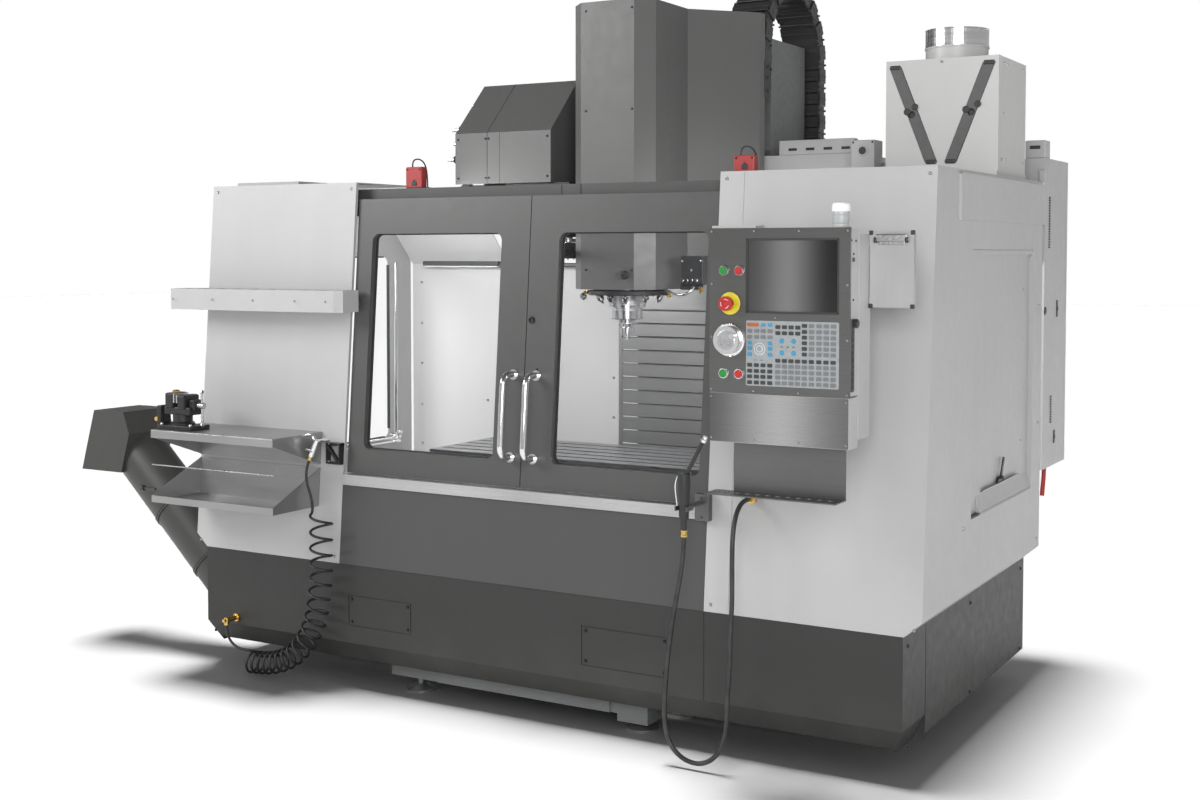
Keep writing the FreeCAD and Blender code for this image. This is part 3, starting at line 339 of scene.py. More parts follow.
gives(coat_grain, result, blended(coat_grain, shaded(coat_grain, given["Color"], fleck),
    (0.20, 0.19, 0.17), dust), combined(coat_grain, "ADD", gloss, dust),
    relief(coat_grain, peel, 0.0002, 0.15))

dress(finish_of("skirt_coat", coat_grain, (0.026, 0.026, 0.025), 0.46, Peel=1.0), "base_skirt")


LEFT, RIGHT = (-1, 0, 0), (1, 0, 0)
FRONT, BACK = (0, -1, 0), (0, 1, 0)
DOWN, UP = (0, 0, -1), (0, 0, 1)


def pour_into(mesh, part):
    """Adds a finished shape to its piece."""
    data = bpy.data.meshes.new("part")
    part.to_mesh(data)
    part.free()
    mesh.from_mesh(data)
    bpy.data.meshes.remove(data)


def place_part(mesh, part, foot, axis=UP):
    """Turns a part's upright axis to this direction, stands it at its foot and adds it to the piece."""
    turn = Vector(axis).to_track_quat("Z", "Y").to_matrix().to_4x4()
    part.transform(Matrix.Translation(at(*foot)) @ turn)
    pour_into(mesh, part)


def around(middle, radius, turns):
    """Places on a circle, one for each turn in degrees."""
    for turn in turns:
        spot = math.radians(turn)
        yield middle[0] + radius * math.cos(spot), middle[1] + radius * math.sin(spot)


def add_screw(mesh, foot, axis, radius=5.0, height=3.2):
    """A button-head screw with a sunk socket."""
    part = bmesh.new()
    bmesh.ops.create_cone(part, cap_ends=True, segments=14, radius1=radius / 1000,
        radius2=0.72 * radius / 1000, depth=height / 1000)
    bmesh.ops.translate(part, verts=part.verts, vec=(0, 0, height / 2000))
    crown = max(part.faces, key=lambda face: face.calc_center_median().z)
    bmesh.ops.inset_individual(part, faces=[crown], thickness=0.34 * radius / 1000)
    bmesh.ops.translate(part, verts=crown.verts, vec=(0, 0, -0.55 * height / 1000))
    place_part(mesh, part, foot, axis)


def fitted(name, mesh, material, body="machine"):
    """Makes a piece of a mesh, fixes it to a body and names the finish that it takes."""
    piece = finished(name, mesh, material)
    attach(piece, body)


zinc_steel = finish_of("zinc_steel", cast_grain, (0.46, 0.46, 0.47), 0.32, 0.9)
black_steel = finish_of("black_steel", cast_grain, (0.035, 0.035, 0.036), 0.4, 0.5)

skirt_screws = bmesh.new()
for left, right, low, high in ((-650, -385, 215, 322), (270, 575, 205, 330)):
    for x in (left + 15, right - 15):
        for z in (low + 15, high - 15):
            add_screw(skirt_screws, (x, 0, z), FRONT, 6, 3.5)
for y in (40, 640, 1240):
    for z in (110, 390):
        for side in (-1, 1):
            add_screw(skirt_screws, (1300 * side, y, z), (side, 0, 0), 6, 3.5)
fitted("skirt_screws", skirt_screws, black_steel)


# Chip pan, auger and its tube: folded stainless floor and trough, a forged and turned chip screw in
# it, and a painted steel tube that lifts the chips to the discharge hood on the left.
brushed_grain, given, result = effect_group("brushed_grain", ["Color", "Roughness", "Run"])
place = object_place(brushed_grain)
along = brushed_grain.nodes.new("ShaderNodeVectorMath")
along.operation = "MULTIPLY"
brushed_grain.links.new(place, along.inputs[0])
brushed_grain.links.new(given["Run"], along.inputs[1])
line = along.outputs["Vector"]
tone = combined(brushed_grain, "MULTIPLY", cloud(brushed_grain, line, 1, 5, 0.94, 1.06),
    cloud(brushed_grain, place, 2.4, 3, 0.88, 1.10))
gives(brushed_grain, result, shaded(brushed_grain, given["Color"], tone),
    combined(brushed_grain, "ADD", given["Roughness"], cloud(brushed_grain, line, 1.7, 4, -0.07, 0.12)),
    relief(brushed_grain, cloud(brushed_grain, line, 1, 6, 0, 1), 0.0002, 0.2))

RUN_X = (2, 1400, 1400)
RUN_Z = (1400, 1400, 2)
dress(finish_of("pan_steel", brushed_grain, (0.42, 0.42, 0.42), 0.36, 0.85, Run=RUN_X), "chip_pan")
dress(finish_of("auger_steel", brushed_grain, (0.36, 0.355, 0.34), 0.34, 0.95, Run=RUN_X),
    "auger_screw")
tube_coat = finish_of("tube_coat", coat_grain, (0.048, 0.048, 0.044), 0.42, Peel=1.0)
dress(tube_coat, "auger_tube")


def add_turned(mesh, profile, foot, axis, sides=32):
    """A part turned on a lathe from a profile of radius and height in millimetres above its foot."""
    part = bmesh.new()
    line = [part.verts.new((radius / 1000, 0, height / 1000)) for radius, height in profile]
    edges = [part.edges.new(ends) for ends in zip(line, line[1:])]
    bmesh.ops.spin(part, geom=line + edges, cent=(0, 0, 0), axis=(0, 0, 1), angle=2 * math.pi,
        steps=sides, use_merge=True)
    bmesh.ops.remove_doubles(part, verts=part.verts, dist=1e-6)
    place_part(mesh, part, foot, axis)


TUBE_RISE = (-0.732, 0, 0.681)


def on_tube(distance):
    """A place on the auger tube's middle line, this far from its lower end."""
    return (-1170 + TUBE_RISE[0] * distance, 153, 137 + TUBE_RISE[2] * distance)


auger_flanges = bmesh.new()
for distance in (300, 560):
    for offset in (0, 9):
        add_turned(auger_flanges, [(100, 0), (104, 0), (104, 7), (100, 7), (100, 0)],
            on_tube(distance + offset), TUBE_RISE, 48)
for y in (52, 110, 196, 254):
    for z in (164, 386):
        add_screw(auger_flanges, (-1309, y, z), LEFT, 6, 5)
fitted("auger_flanges", auger_flanges, tube_coat)


# Outer panels: folded sheet steel with a pale powder coat, leaning back slightly at the front, held
# by button-head screws. The chamber's rear wall and the roof boxes are the same sheet, and the rear
# wall's copy of the coat is made lighter: painted light.
white_coat = finish_of("white_coat", coat_grain, (0.46, 0.46, 0.46), 0.40, Peel=0.8)
dress(white_coat, "left_front_panel", "left_side_wall", "right_front_panel", "right_side_wall",
    "roof_frame")
# The rear wall's lighter copy of the pale coat is painted light for the lit chamber.
dress(finish_of("chamber_coat_lit", coat_grain, (0.66, 0.66, 0.66), 0.42, Peel=0.8), "rear_panels")
LEAN = 0.0821


def panel_y(z, behind=0):
    """How far back the leaning front is at a height, and a distance behind it."""
    return LEAN * (z - 422) + behind


FRONT_OUT = (0, -1, LEAN)
panel_screws = bmesh.new()
for x in (-1330, -712, 712, 1330):
    for z in (445, 1700):
        add_screw(panel_screws, (x, panel_y(z), z), FRONT_OUT, 5.5, 3)
for y, z in ((1086, 1360), (1081, 1194), (1076, 1023), (1071, 856)):
    add_screw(panel_screws, (1337, y, z), RIGHT, 5, 3)
add_screw(panel_screws, (1352, 378, 669), RIGHT, 7, 5)
for z in (657, 827, 1005, 1178, 1355):
    add_screw(panel_screws, (-1297, 1290, z), FRONT, 6, 4)
    add_screw(panel_screws, (1297, 1290, z), FRONT, 6, 4)
for x, z in ((-955, 860), (-955, 657), (-345, 980), (-345, 820), (-345, 660), (345, 980), (345, 820),
        (345, 660)):
    add_screw(panel_screws, (x, 1290, z), FRONT, 6, 4)
for z in (500, 900, 1300):
    for side in (-1, 1):
        add_screw(panel_screws, (side * 1352, 1240, z), (side, 0, 0), 6, 4)
fitted("panel_screws", panel_screws, zinc_steel)


# Side wall recess: the loading hatch's folded track along its top, a bright ledge below, a thin black
# strip along the recess's lower edge that is painted shadow, and a small black lever hook that holds
# the hatch shut.
def add_plate(mesh, outline, depth, corner=0.0, rim=0.0):
    """A plate from its outline and the step through its thickness. Corners may be rounded, and with
    a rim only a frame of that width stays."""
    part = bmesh.new()
    part.faces.new([part.verts.new(at(*point)) for point in outline])
    if corner:
        bmesh.ops.bevel(part, geom=part.verts[:], offset=corner / 1000, affect="VERTICES", segments=5,
            profile=0.5, material=-1)
    if rim:
        middle = part.faces[:]
        bmesh.ops.inset_individual(part, faces=middle, thickness=rim / 1000, use_even_offset=True)
        bmesh.ops.delete(part, geom=middle, context="FACES_ONLY")
    raised = bmesh.ops.extrude_face_region(part, geom=part.faces[:])
    ends = [item for item in raised["geom"] if isinstance(item, bmesh.types.BMVert)]
    bmesh.ops.translate(part, verts=ends, vec=Vector(depth) / 1000)
    pour_into(mesh, part)


def upright(left, right, low, high, y):
    """The corners of a rectangle that faces the front."""
    return [(left, y, low), (right, y, low), (right, y, high), (left, y, high)]


hatch_track = bmesh.new()
add_plate(hatch_track, [(1337, 462, 1474), (1337, 1160, 1474), (1337, 1160, 1489), (1337, 462, 1489)],
    (11, 0, 0), 7)
add_plate(hatch_track, [(1337, 612, 742), (1337, 1025, 742), (1347, 1025, 752), (1347, 612, 752)],
    (3, 0, 0))
fitted("hatch_track", hatch_track, white_coat)
hatch_lever_and_gap_shadow = bmesh.new()
# A thin black strip along the recess's lower edge: painted shadow in the gap.
add_plate(hatch_lever_and_gap_shadow, [(1337, 461, 685), (1337, 1162, 685), (1337, 1162, 689), (1337, 461, 689)],
    (13, 0, 0))
add_plate(hatch_lever_and_gap_shadow, [(1340, 770, 752), (1340, 850, 752), (1340, 838, 768), (1340, 786, 768)],
    (6, 0, 0), 3)
add_plate(hatch_lever_and_gap_shadow, [(1346, 790, 762), (1346, 806, 762), (1346, 838, 826), (1346, 824, 830)],
    (4, 0, 0), 3)
add_screw(hatch_lever_and_gap_shadow, (1350, 799, 768), RIGHT, 6, 4)
fitted("hatch_lever_and_gap_shadow", hatch_lever_and_gap_shadow, black_steel)


# Front apron and sill: a grey-coated sheet below the doors, and a folded brushed stainless nose that
# carries the doors' lower edge and drips coolant back inside.
dress(finish_of("apron_coat", coat_grain, (0.066, 0.066, 0.066), 0.34, Peel=0.7), "front_apron")
dress(finish_of("sill_steel", brushed_grain, (0.55, 0.55, 0.55), 0.30, 0.8, Run=RUN_X), "door_sill")


# Sliding doors: grey-coated steel frames hung from the track housing, each with a laminated window in
# a rubber seal. A lock pin and its keeper sit where the doors meet, and the handles are chromed bar.
door_coat = finish_of("door_coat", coat_grain, (0.078, 0.078, 0.077), 0.34, Peel=0.7)
dress(door_coat, "left_door", "right_door", "door_track_housing")
chrome = finish_of("chrome", brushed_grain, (0.88, 0.88, 0.89), 0.07, 1.0, Run=(3, 3, 3))
dress(chrome, "left_handle", "right_handle")


def window_pane():
    """Clear laminated glass with a faint smear, whose surface mirrors more at a grazing angle."""
    glass = surface("window_pane", (0.12, 0.13, 0.13), 0.03)
    tree = glass.node_tree
    facing = tree.nodes.new("ShaderNodeLayerWeight")
    facing.inputs["Blend"].default_value = 0.25
    shader = tree.nodes["Principled BSDF"]
    smear = cloud(tree, object_place(tree), 3, 5, 0.0, 0.03)
    cover = combined(tree, "ADD", spread(tree, facing.outputs["Fresnel"], 0.02, 0.3), smear)
    tree.links.new(cover, shader.inputs["Alpha"])
    tree.links.new(cloud(tree, object_place(tree), 8, 4, 0.02, 0.08), shader.inputs["Roughness"])
    return glass


dress(window_pane(), "left_window", "right_window")

moulded_grain, given, result = effect_group("moulded_grain", ["Color", "Roughness"])
place = object_place(moulded_grain)
gives(moulded_grain, result, shaded(moulded_grain, given["Color"],
    cloud(moulded_grain, place, 45, 4, 0.92, 1.07)), combined(moulded_grain, "ADD", given["Roughness"],
    cloud(moulded_grain, place, 70, 3, -0.06, 0.08)), relief(moulded_grain,
    cloud(moulded_grain, place, 1300, 2, 0, 1), 0.0003, 0.4))
seal_rubber = finish_of("seal_rubber", moulded_grain, (0.030, 0.030, 0.030), 0.5)
black_plastic = finish_of("black_moulding", moulded_grain, (0.028, 0.028, 0.030), 0.38)


def leaning_frame(left, right, low, high, behind):
    """The four corners of a rectangle that leans with the front."""
    return [(left, panel_y(low, behind), low), (right, panel_y(low, behind), low),
        (right, panel_y(high, behind), high), (left, panel_y(high, behind), high)]


for side, left, right in (("left", -621, -92), ("right", 127, 651)):
    seal = bmesh.new()
    add_plate(seal, leaning_frame(left - 1, right + 1, 813, 1546, 37), (0, 8.5, 0), 26, 5)
    fitted(side + "_window_seal", seal, seal_rubber, side + "_door")

door_lock = bmesh.new()
add_turned(door_lock, [(0, 0), (11, 0), (11, 4), (9.5, 6), (6, 6), (5, 3), (0, 3)],
    (36, panel_y(1266, 16), 1266), FRONT_OUT)
for z in (830, 1110):
    add_screw(door_lock, (64, panel_y(z, 16), z), FRONT_OUT, 4, 2)
fitted("door_lock_pin", door_lock, black_steel, "right_door")

door_strips = bmesh.new()
add_plate(door_strips, leaning_frame(15, 18.2, 735, 1660, 22), (0, 18, 0))
fitted("door_meeting_seal", door_strips, seal_rubber, "left_door")


# Chamber fittings: a chromed guard rail with rollers at the left side opening, and two long lamps
# under the roof slope, cased in coated sheet. The left one has a pale moulded lens.
def rounded_block(low, high, bevel, segments):
    """A block between two corners in metres, with its edges rounded by this many millimetres."""
    part = bmesh.new()
    bmesh.ops.create_cube(part, size=1)
    bmesh.ops.scale(part, vec=high - low, verts=part.verts)
    bmesh.ops.translate(part, verts=part.verts, vec=(low + high) / 2)
    bmesh.ops.bevel(part, geom=part.edges[:], offset=bevel / 1000, affect="EDGES", segments=segments,
        profile=0.5, material=-1)
    return part


def add_box(mesh, low, high, bevel=1.5):
    """A block between two corners with its edges rounded."""
    pour_into(mesh, rounded_block(at(*low), at(*high), bevel, 2))


def add_boxes(mesh, *boxes):
    """Several blocks, each given by its two corners and the rounding of its edges."""
    for low, high, bevel in boxes:
        add_box(mesh, low, high, bevel)


def add_rod(mesh, start, end, radius, tip=None, sides=24):
    """A round bar between two places, or a cone when its tip has another radius."""
    reach = (Vector(end) - Vector(start)).length
    tip = radius if tip is None else tip
    edge = min(1.0, 0.2 * min(radius, tip), 0.2 * reach)
    profile = [(0, 0), (radius - edge, 0), (radius, edge), (tip, reach - edge), (tip - edge, reach),
        (0, reach)]
    add_turned(mesh, profile, start, Vector(end) - Vector(start), sides)


guard_rail = bmesh.new()
for z in (684, 700):
    add_rod(guard_rail, (-1318, 800, z), (-1300, 1133, z), 6)
for y, z in ((1096, 712), (1122, 704), (1105, 690), (1132, 722)):
    add_rod(guard_rail, (-1318, y, z), (-1290, y, z), 9)
add_rod(guard_rail, (-1309, 1120, 722), (-1309, 1120, 1440), 7)
fitted("side_window_rail", guard_rail, chrome)

lamp_case = bmesh.new()
add_box(lamp_case, (-1243, 1222, 1426), (-859, 1262, 1446), 4)
add_box(lamp_case, (-855, 1226, 1424), (-420, 1262, 1440), 4)
fitted("chamber_lamp_case", lamp_case, door_coat)
lamp_lens = bmesh.new()
add_box(lamp_lens, (-1236, 1226, 1421), (-866, 1258, 1427), 2)
lens_plastic = finish_of("lamp_lens_plastic", moulded_grain, (0.86, 0.87, 0.86), 0.25)
fitted("chamber_lamp_lens", lamp_lens, lens_plastic)


# Saddle and table: ground and scraped iron, the table milled with T-slots along its length, with
# a sheen where fixtures have slid.
dress(finish_of("milled_iron", brushed_grain, (0.34, 0.345, 0.36), 0.30, 0.9, Run=(8, 260, 260)),
    "table")
dress(finish_of("saddle_iron", cast_grain, (0.20, 0.20, 0.205), 0.42, 0.3), "saddle")


# Left side opening: a folded safety edge of black rubber, in four lengths, which is clipped round
# the wall's loading opening.
opening_edge = bmesh.new()
for start, end in (((-1347, 468, 702), (-1347, 1082, 702)), ((-1347, 468, 1463), (-1347, 1082, 1463)),
        ((-1347, 432, 738), (-1347, 432, 1427)), ((-1347, 1118, 738), (-1347, 1118, 1427))):
    add_box(opening_edge, (start[0] - 6.4, start[1] - 3, start[2] - 3),
        (end[0] + 6.4, end[1] + 3, end[2] + 3), 2)
fitted("opening_edge", opening_edge, black_plastic)


# Head: an iron casting that slides on the column, with the spindle motor on top, inside a folded
# sheet cover. The cover is grey-coated, with a knob low on its right front.
head_coat = finish_of("head_coat", coat_grain, (0.125, 0.125, 0.123), 0.40, Peel=0.8)
dress(head_coat, "head_cover")
dress(cast_paint, "head_casting")
dress(finish_of("motor_coat", cast_grain, (0.03, 0.03, 0.032), 0.42), "spindle_motor")
knob = bmesh.new()
add_turned(knob, [(0, 0), (13, 0), (13, 3), (9, 5), (9, 8), (15, 11), (16, 15), (13, 19), (5, 20),
    (4, 17), (0, 17)], (72, 640, 1403), FRONT)
for x in (-90, 95):
    for z in (1420, 1690, 1980, 2330):
        add_screw(knob, (x, 640, z), FRONT, 4.5, 2.5)
fitted("head_cover_knob", knob, black_plastic, "head")
cover_seam = bmesh.new()
for x in (-349, 341):
    for z in (1420, 1880, 2320):
        add_screw(cover_seam, (x + (5 if x > 0 else -5), 1176, z), (x, 0, 0), 5, 3)
fitted("head_cover_screws", cover_seam, black_steel, "head")


# Coolant parts on the head: a black manifold block with chromed valves and brass elbows, a steel
# ring plate round the spindle with chromed nozzles, and a small bent pipe between them.
def route(points):
    """Places in metres from a hose's list of millimetre points."""
    return [at(*point) for point in points]


def hose_line(name, points, thick):
    """A round hose as one smooth open curve with these control points."""
    curve = bpy.data.curves.new(name, "CURVE")
    curve.dimensions = "3D"
    curve.resolution_u = 6
    curve.bevel_depth = thick / 2
    curve.bevel_resolution = 3
    curve.use_fill_caps = True
    line = curve.splines.new("NURBS")
    line.points.add(len(points) - 1)
    for control, place in zip(line.points, points):
        control.co = (*place, 1)
    line.order_u = 3
    line.use_endpoint_u = True
    hose = bpy.data.objects.new(name, curve)
    scene.collection.objects.link(hose)
    return hose


def add_pipe(mesh, points, radius):
    """A smoothly bent pipe or wire along these places."""
    guide = hose_line("pipe_guide", route(points), 2 * radius / 1000)
    guide.data.bevel_resolution = 2
    data = bpy.data.meshes.new_from_object(guide.evaluated_get(bpy.context.evaluated_depsgraph_get()))
    mesh.from_mesh(data)
    bpy.data.meshes.remove(data)
    bpy.data.objects.remove(guide)


manifold = bmesh.new()
add_box(manifold, (234, 742, 1368), (322, 800, 1470), 4)
add_box(manifold, (226, 752, 1351), (300, 790, 1369), 3)
fitted("coolant_manifold", manifold, black_plastic, "head")
manifold_metal = bmesh.new()
for x in (244, 262, 280, 298):
    add_turned(manifold_metal, [(0, 0), (7, 0), (7, 9), (5, 11), (5, 16), (0, 16)], (x, 742, 1384),
        FRONT, 12)
for x, z in ((242, 1452), (314, 1452), (278, 1420)):
    add_screw(manifold_metal, (x, 742, z), FRONT, 5, 4)
add_pipe(manifold_metal, [(290, 730, 1362), (290, 716, 1350), (270, 708, 1336), (230, 712, 1334),
    (190, 730, 1346), (166, 752, 1352)], 5)
fitted("coolant_valves", manifold_metal, chrome, "head")
brass = finish_of("machined_brass", brushed_grain, (0.72, 0.50, 0.16), 0.24, 1.0, Run=(200, 200, 200))
brass_parts = bmesh.new()
add_turned(brass_parts, [(0, 0), (9, 0), (9, 10), (7, 11), (7, 20), (0, 20)], (306, 756, 1360), DOWN, 6)
add_turned(brass_parts, [(0, 0), (8, 0), (8, 9), (6, 10), (6, 18), (0, 18)], (178, 752, 1330),
    (1, -0.2, 0), 6)
add_turned(brass_parts, [(0, 0), (8, 0), (8, 8), (5, 9), (5, 16), (0, 16)], (-118, 700, 1340),
    (-0.6, -1, 0), 6)
fitted("coolant_elbows", brass_parts, brass, "head")

RING_MIDDLE = (8, 780)
ring_plate = bmesh.new()
add_turned(ring_plate, [(68, 0), (146, 0), (148, 2), (148, 15), (146, 17), (68, 17), (68, 0)],
    (*RING_MIDDLE, 1330), UP, 64)
for x, y in around(RING_MIDDLE, 134, range(22, 360, 45)):
    add_screw(ring_plate, (x, y, 1330), DOWN, 4.5, 3)
fitted("coolant_ring_plate", ring_plate, black_steel, "head")
nozzles = bmesh.new()
NOZZLE = [(0, 0), (10, 0), (10, 6), (8, 8), (12, 11), (12, 21), (10, 25), (6, 28)]
for turn, drop in ((200, 26), (232, 34), (262, 30), (292, 34), (330, 28), (20, 30), (140, 30)):
    (x, y), = around(RING_MIDDLE, 118, [turn])
    (lean_x, lean_y), = around((0, 0), -0.55, [turn])
    tip = [(5, drop), (3, drop + 2), (2, drop + 2), (2, drop - 3), (0, drop - 3)]
    add_turned(nozzles, NOZZLE + tip, (x, y, 1332), (lean_x, lean_y, -1), 20)
add_turned(nozzles, [(0, 0), (10, 0), (13, 3), (13, 12), (10, 15), (0, 15)], (-140, 716, 1326),
    (-0.3, -1, -0.3), 20)
fitted("coolant_nozzles", nozzles, chrome, "head")


# Spindle, tool holder, ball screw and arm shaft: ground and polished steel, turned all over, so the
# grain runs round. A screwed ring closes the spindle's nose.
ground_steel = finish_of("ground_steel", brushed_grain, (0.58, 0.58, 0.60), 0.22, 0.95, Run=(1, 1, 50))
dress(ground_steel, "spindle_shaft", "tool_holder", "z_screw", "arm_shaft")
SPINDLE_AXIS = (0, 780)
nose_ring = bmesh.new()
add_turned(nose_ring, [(40, 0), (47, 0), (48, 2), (48, 5), (40, 5), (40, 0)], (*SPINDLE_AXIS, 1241), UP,
    48)
for x, y in around(SPINDLE_AXIS, 56, range(45, 360, 90)):
    add_screw(nose_ring, (x, y, 1246), DOWN, 3.6, 3)
fitted("spindle_nose_ring", nose_ring, ground_steel, "spindle")


# Way cover: overlapping folded stainless leaves that shield the column's slides. The lowest is fixed
# to the bed and the top one to the head, and the others slide over each other between them.
leaf_steel = finish_of("leaf_steel", brushed_grain, (0.36, 0.36, 0.36), 0.34, 0.6, Run=RUN_X)
guides = bmesh.new()
for side in (-1, 1):
    add_box(guides, (side * 316 - 8, 1290.5, 562), (side * 316 + 8, 1303, 1434), 1)
    for z in range(590, 1430, 120):
        add_screw(guides, (side * 318, 1290.5, z), FRONT, 3.5, 2)
fitted("way_cover_guides", guides, leaf_steel)
leaves = bmesh.new()
LEAF = 53.5
for step in range(13):
    low = 560 + LEAF * step
    lift = 1.5 * (step % 2)
    add_plate(leaves, [(-307, 1293, low + 1), (-307, 1285 + lift, low + 3),
        (-307, 1285 + lift, low + LEAF - 5), (-307, 1289 + lift, low + LEAF - 1),
        (-307, 1296, low + LEAF - 1), (-307, 1296, low + 1)], (614, 0, 0))
    for side in (-1, 1):
        add_plate(leaves, [(side * 307.6, 1284 + lift, low + 2), (side * 307.6, 1298, low + 2),
            (side * 307.6, 1298, low + LEAF - 2), (side * 307.6, 1284 + lift, low + LEAF - 2)],
            (-side * 4, 0, 0))
add_box(leaves, (-308, 1283, 560 + 13 * LEAF + 1), (308, 1298, 1436), 2)
bmesh.ops.bisect_plane(leaves, geom=leaves.verts[:] + leaves.edges[:] + leaves.faces[:], dist=1e-6,
    plane_co=at(0, 0, 1345), plane_no=UP)
way_leaves = finished("way_cover_leaves", leaves, leaf_steel)
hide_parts("z_way_cover")
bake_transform(way_leaves)


# Tool changer: a side-mounted carousel of forty-taper pockets and a double arm, black-painted iron
# and steel. A folded grey cover shields the front and top, and the tools point out at the left.
dress(head_coat, "tool_changer_cover")
black_iron = finish_of("black_iron", cast_grain, (0.022, 0.022, 0.023), 0.36, 0.2)
dress(black_iron, "carousel", "change_arm", "tool_changer_drive")
cover_trim = bmesh.new()
for x in (-697 + 14, -560, -546, -289):
    for z in (1760, 1905):
        add_screw(cover_trim, (x, 700, z), FRONT, 4.5, 2.5)
fitted("changer_cover_screws", cover_trim, black_steel)
changer_seam = bmesh.new()
add_plate(changer_seam, upright(-554, -552, 1739, 1927, 699.2), (0, 1.5, 0))
add_plate(changer_seam, [(-554, 699.6, 1927), (-552, 699.6, 1927), (-552, 894.6, 2124.6),
    (-554, 894.6, 2124.6)], (0, 1, -1))
fitted("changer_cover_seam", changer_seam, seal_rubber)

pocket_rims, pocket_tools, brass_tools, dark_tools = (bmesh.new() for _ in range(4))
CAROUSEL_AXIS = (1075, 1842)
TOOL_REACHES = (143, 122, 145, 112, 140)
for step, (y, z) in enumerate(around(CAROUSEL_AXIS, 232, range(0, 360, 15))):
    add_turned(pocket_rims, [(16, 0), (25.5, 0), (27, 2), (27, 9), (23, 11), (16, 11), (16, 0)],
        (-658, y, z), LEFT, 20)
    if step % 4 != 1:
        reach = TOOL_REACHES[step % 5]
        shape = [(0, 0), (14, 0), (14, 3), (24, 5), (24, 10), (20, 12), (20, 15), (24, 17), (24, 22),
            (17, 23), (17, reach - 58), (22, reach - 52), (22, reach - 14), (15, reach - 8),
            (15, reach - 2), (13, reach), (0, reach)]
        holder = brass_tools if step == 8 else dark_tools if step % 3 == 0 else pocket_tools
        add_turned(holder, shape, (-655, y, z), LEFT, 20)
        cutter = brass_tools if step in (8, 15, 20) else pocket_tools
        add_turned(cutter, [(0, 0), (8, 0), (8, 18), (6, 20), (6, 34), (2, 38), (0, 38)],
            (-655 - reach, y, z), LEFT, 12)
fitted("pocket_rims", pocket_rims, black_plastic, "carousel")
fitted("pocket_tools", pocket_tools, chrome, "carousel")
fitted("dark_tools", dark_tools, black_steel, "carousel")
fitted("brass_tools", brass_tools, brass, "carousel")

arm_screws = bmesh.new()
ARM_AXIS = (-250, 780)
ARM_REST = 20                   # degrees that the parked arm is turned by
for grip in around(ARM_AXIS, 250, (ARM_REST + 270, ARM_REST + 90)):
    for x, y in around(grip, 20, (ARM_REST + 180, ARM_REST)):
        add_screw(arm_screws, (x, y, 1490), UP, 5, 4)
for x, y in around(ARM_AXIS, 24, range(0, 360, 60)):
    add_screw(arm_screws, (x, y, 1460), DOWN, 4, 4)
fitted("arm_screws", arm_screws, zinc_steel, "change_arm")


# Cable carrier: a looped chain of moulded nylon links that leads the head's cables and hoses from the
# column's roof frame. Each link is two side plates joined by snapped-in bars.
link_nylon = finish_of("link_nylon", moulded_grain, (0.030, 0.030, 0.031), 0.34)
CHAIN_NEAR, CHAIN_FAR = 1232, 1775
ARCH_R = (CHAIN_FAR - CHAIN_NEAR) / 2
ARCH_Y = (CHAIN_FAR + CHAIN_NEAR) / 2
ARCH_Z = 2235
CHAIN_FOOT, CHAIN_END = 1847, 2140
PITCH = 46.0


def chain_spot(distance):
    """The place and direction on the chain's middle line, this far up from its foot on the frame."""
    straight = ARCH_Z - CHAIN_FOOT
    arch = math.pi * ARCH_R
    if distance < straight:
        return CHAIN_FAR, CHAIN_FOOT + distance, math.pi / 2
    if distance < straight + arch:
        turn = (distance - straight) / ARCH_R
        return ARCH_Y + ARCH_R * math.cos(turn), ARCH_Z + ARCH_R * math.sin(turn), math.pi / 2 + turn
    return CHAIN_NEAR, ARCH_Z - (distance - straight - arch), 1.5 * math.pi


def add_link(mesh, low, high, turn, y, z, bevel=2.5):
    """One block of a link, drawn round the origin along Y, then turned into the chain's run."""
    part = rounded_block(Vector(low) / 1000, Vector(high) / 1000, bevel, 1)
    part.transform(Matrix.Translation(at(270, y, z)) @ Matrix.Rotation(turn, 4, "X"))
    pour_into(mesh, part)


chain = bmesh.new()
chain_length = (ARCH_Z - CHAIN_FOOT) + math.pi * ARCH_R + (ARCH_Z - CHAIN_END)
link_count = int(chain_length / PITCH)
for step in range(link_count):
    y, z, turn = chain_spot(PITCH * (step + 0.5))
    for side in (-1, 1):
        inner_face = side * (72 if step % 2 else 66)
        outer_face = side * (79 if step % 2 else 73)
        low, high = min(inner_face, outer_face), max(inner_face, outer_face)
        add_link(chain, (low, -29, -31), (high, 29, 31), turn, y, z)
        add_link(chain, (min(outer_face, outer_face - side * 2), -8, -8),
            (max(outer_face, outer_face + side * 1), 8, 8), turn, y, z, 1)
    for edge in (-1, 1):
        add_link(chain, (-71, -21.5, 28 * edge - 3), (71, 21.5, 28 * edge + 3), turn, y, z, 1.5)
        add_link(chain, (-79, -4, 31.5 * edge - 1.5), (79, 4, 31.5 * edge + 1.5), turn, y, z, 1)
cable_chain = finished("cable_chain", chain, link_nylon)
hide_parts("cable_carrier")
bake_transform(cable_chain)

chain_cables = bmesh.new()
for x, radius in ((222, 9), (246, 12), (274, 8), (296, 12), (318, 9)):
    far = CHAIN_FAR - 4
    near = CHAIN_NEAR + 4
    add_pipe(chain_cables, [(x, far, 1856), (x, far, 1960), (x, far, 2100), (x, far, 2235),
        (x, far - 30, 2360), (x, ARCH_Y + 150, 2465), (x, ARCH_Y, 2503), (x, ARCH_Y - 150, 2465),
        (x, near + 30, 2360), (x, near, 2235), (x, near, 2160)], radius)
cable_bundle = finished("chain_cables", chain_cables, seal_rubber)
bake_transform(cable_bundle)

chain_bracket = bmesh.new()
add_box(chain_bracket, (346, 1192, 2056), (352, 1240, 2190), 1)
add_box(chain_bracket, (196, 1194, 2150), (346, 1200, 2196), 1)
for z in (2080, 2130, 2170):
    add_screw(chain_bracket, (352, 1215, z), RIGHT, 5, 4)
fitted("chain_head_bracket", chain_bracket, black_iron, "head")


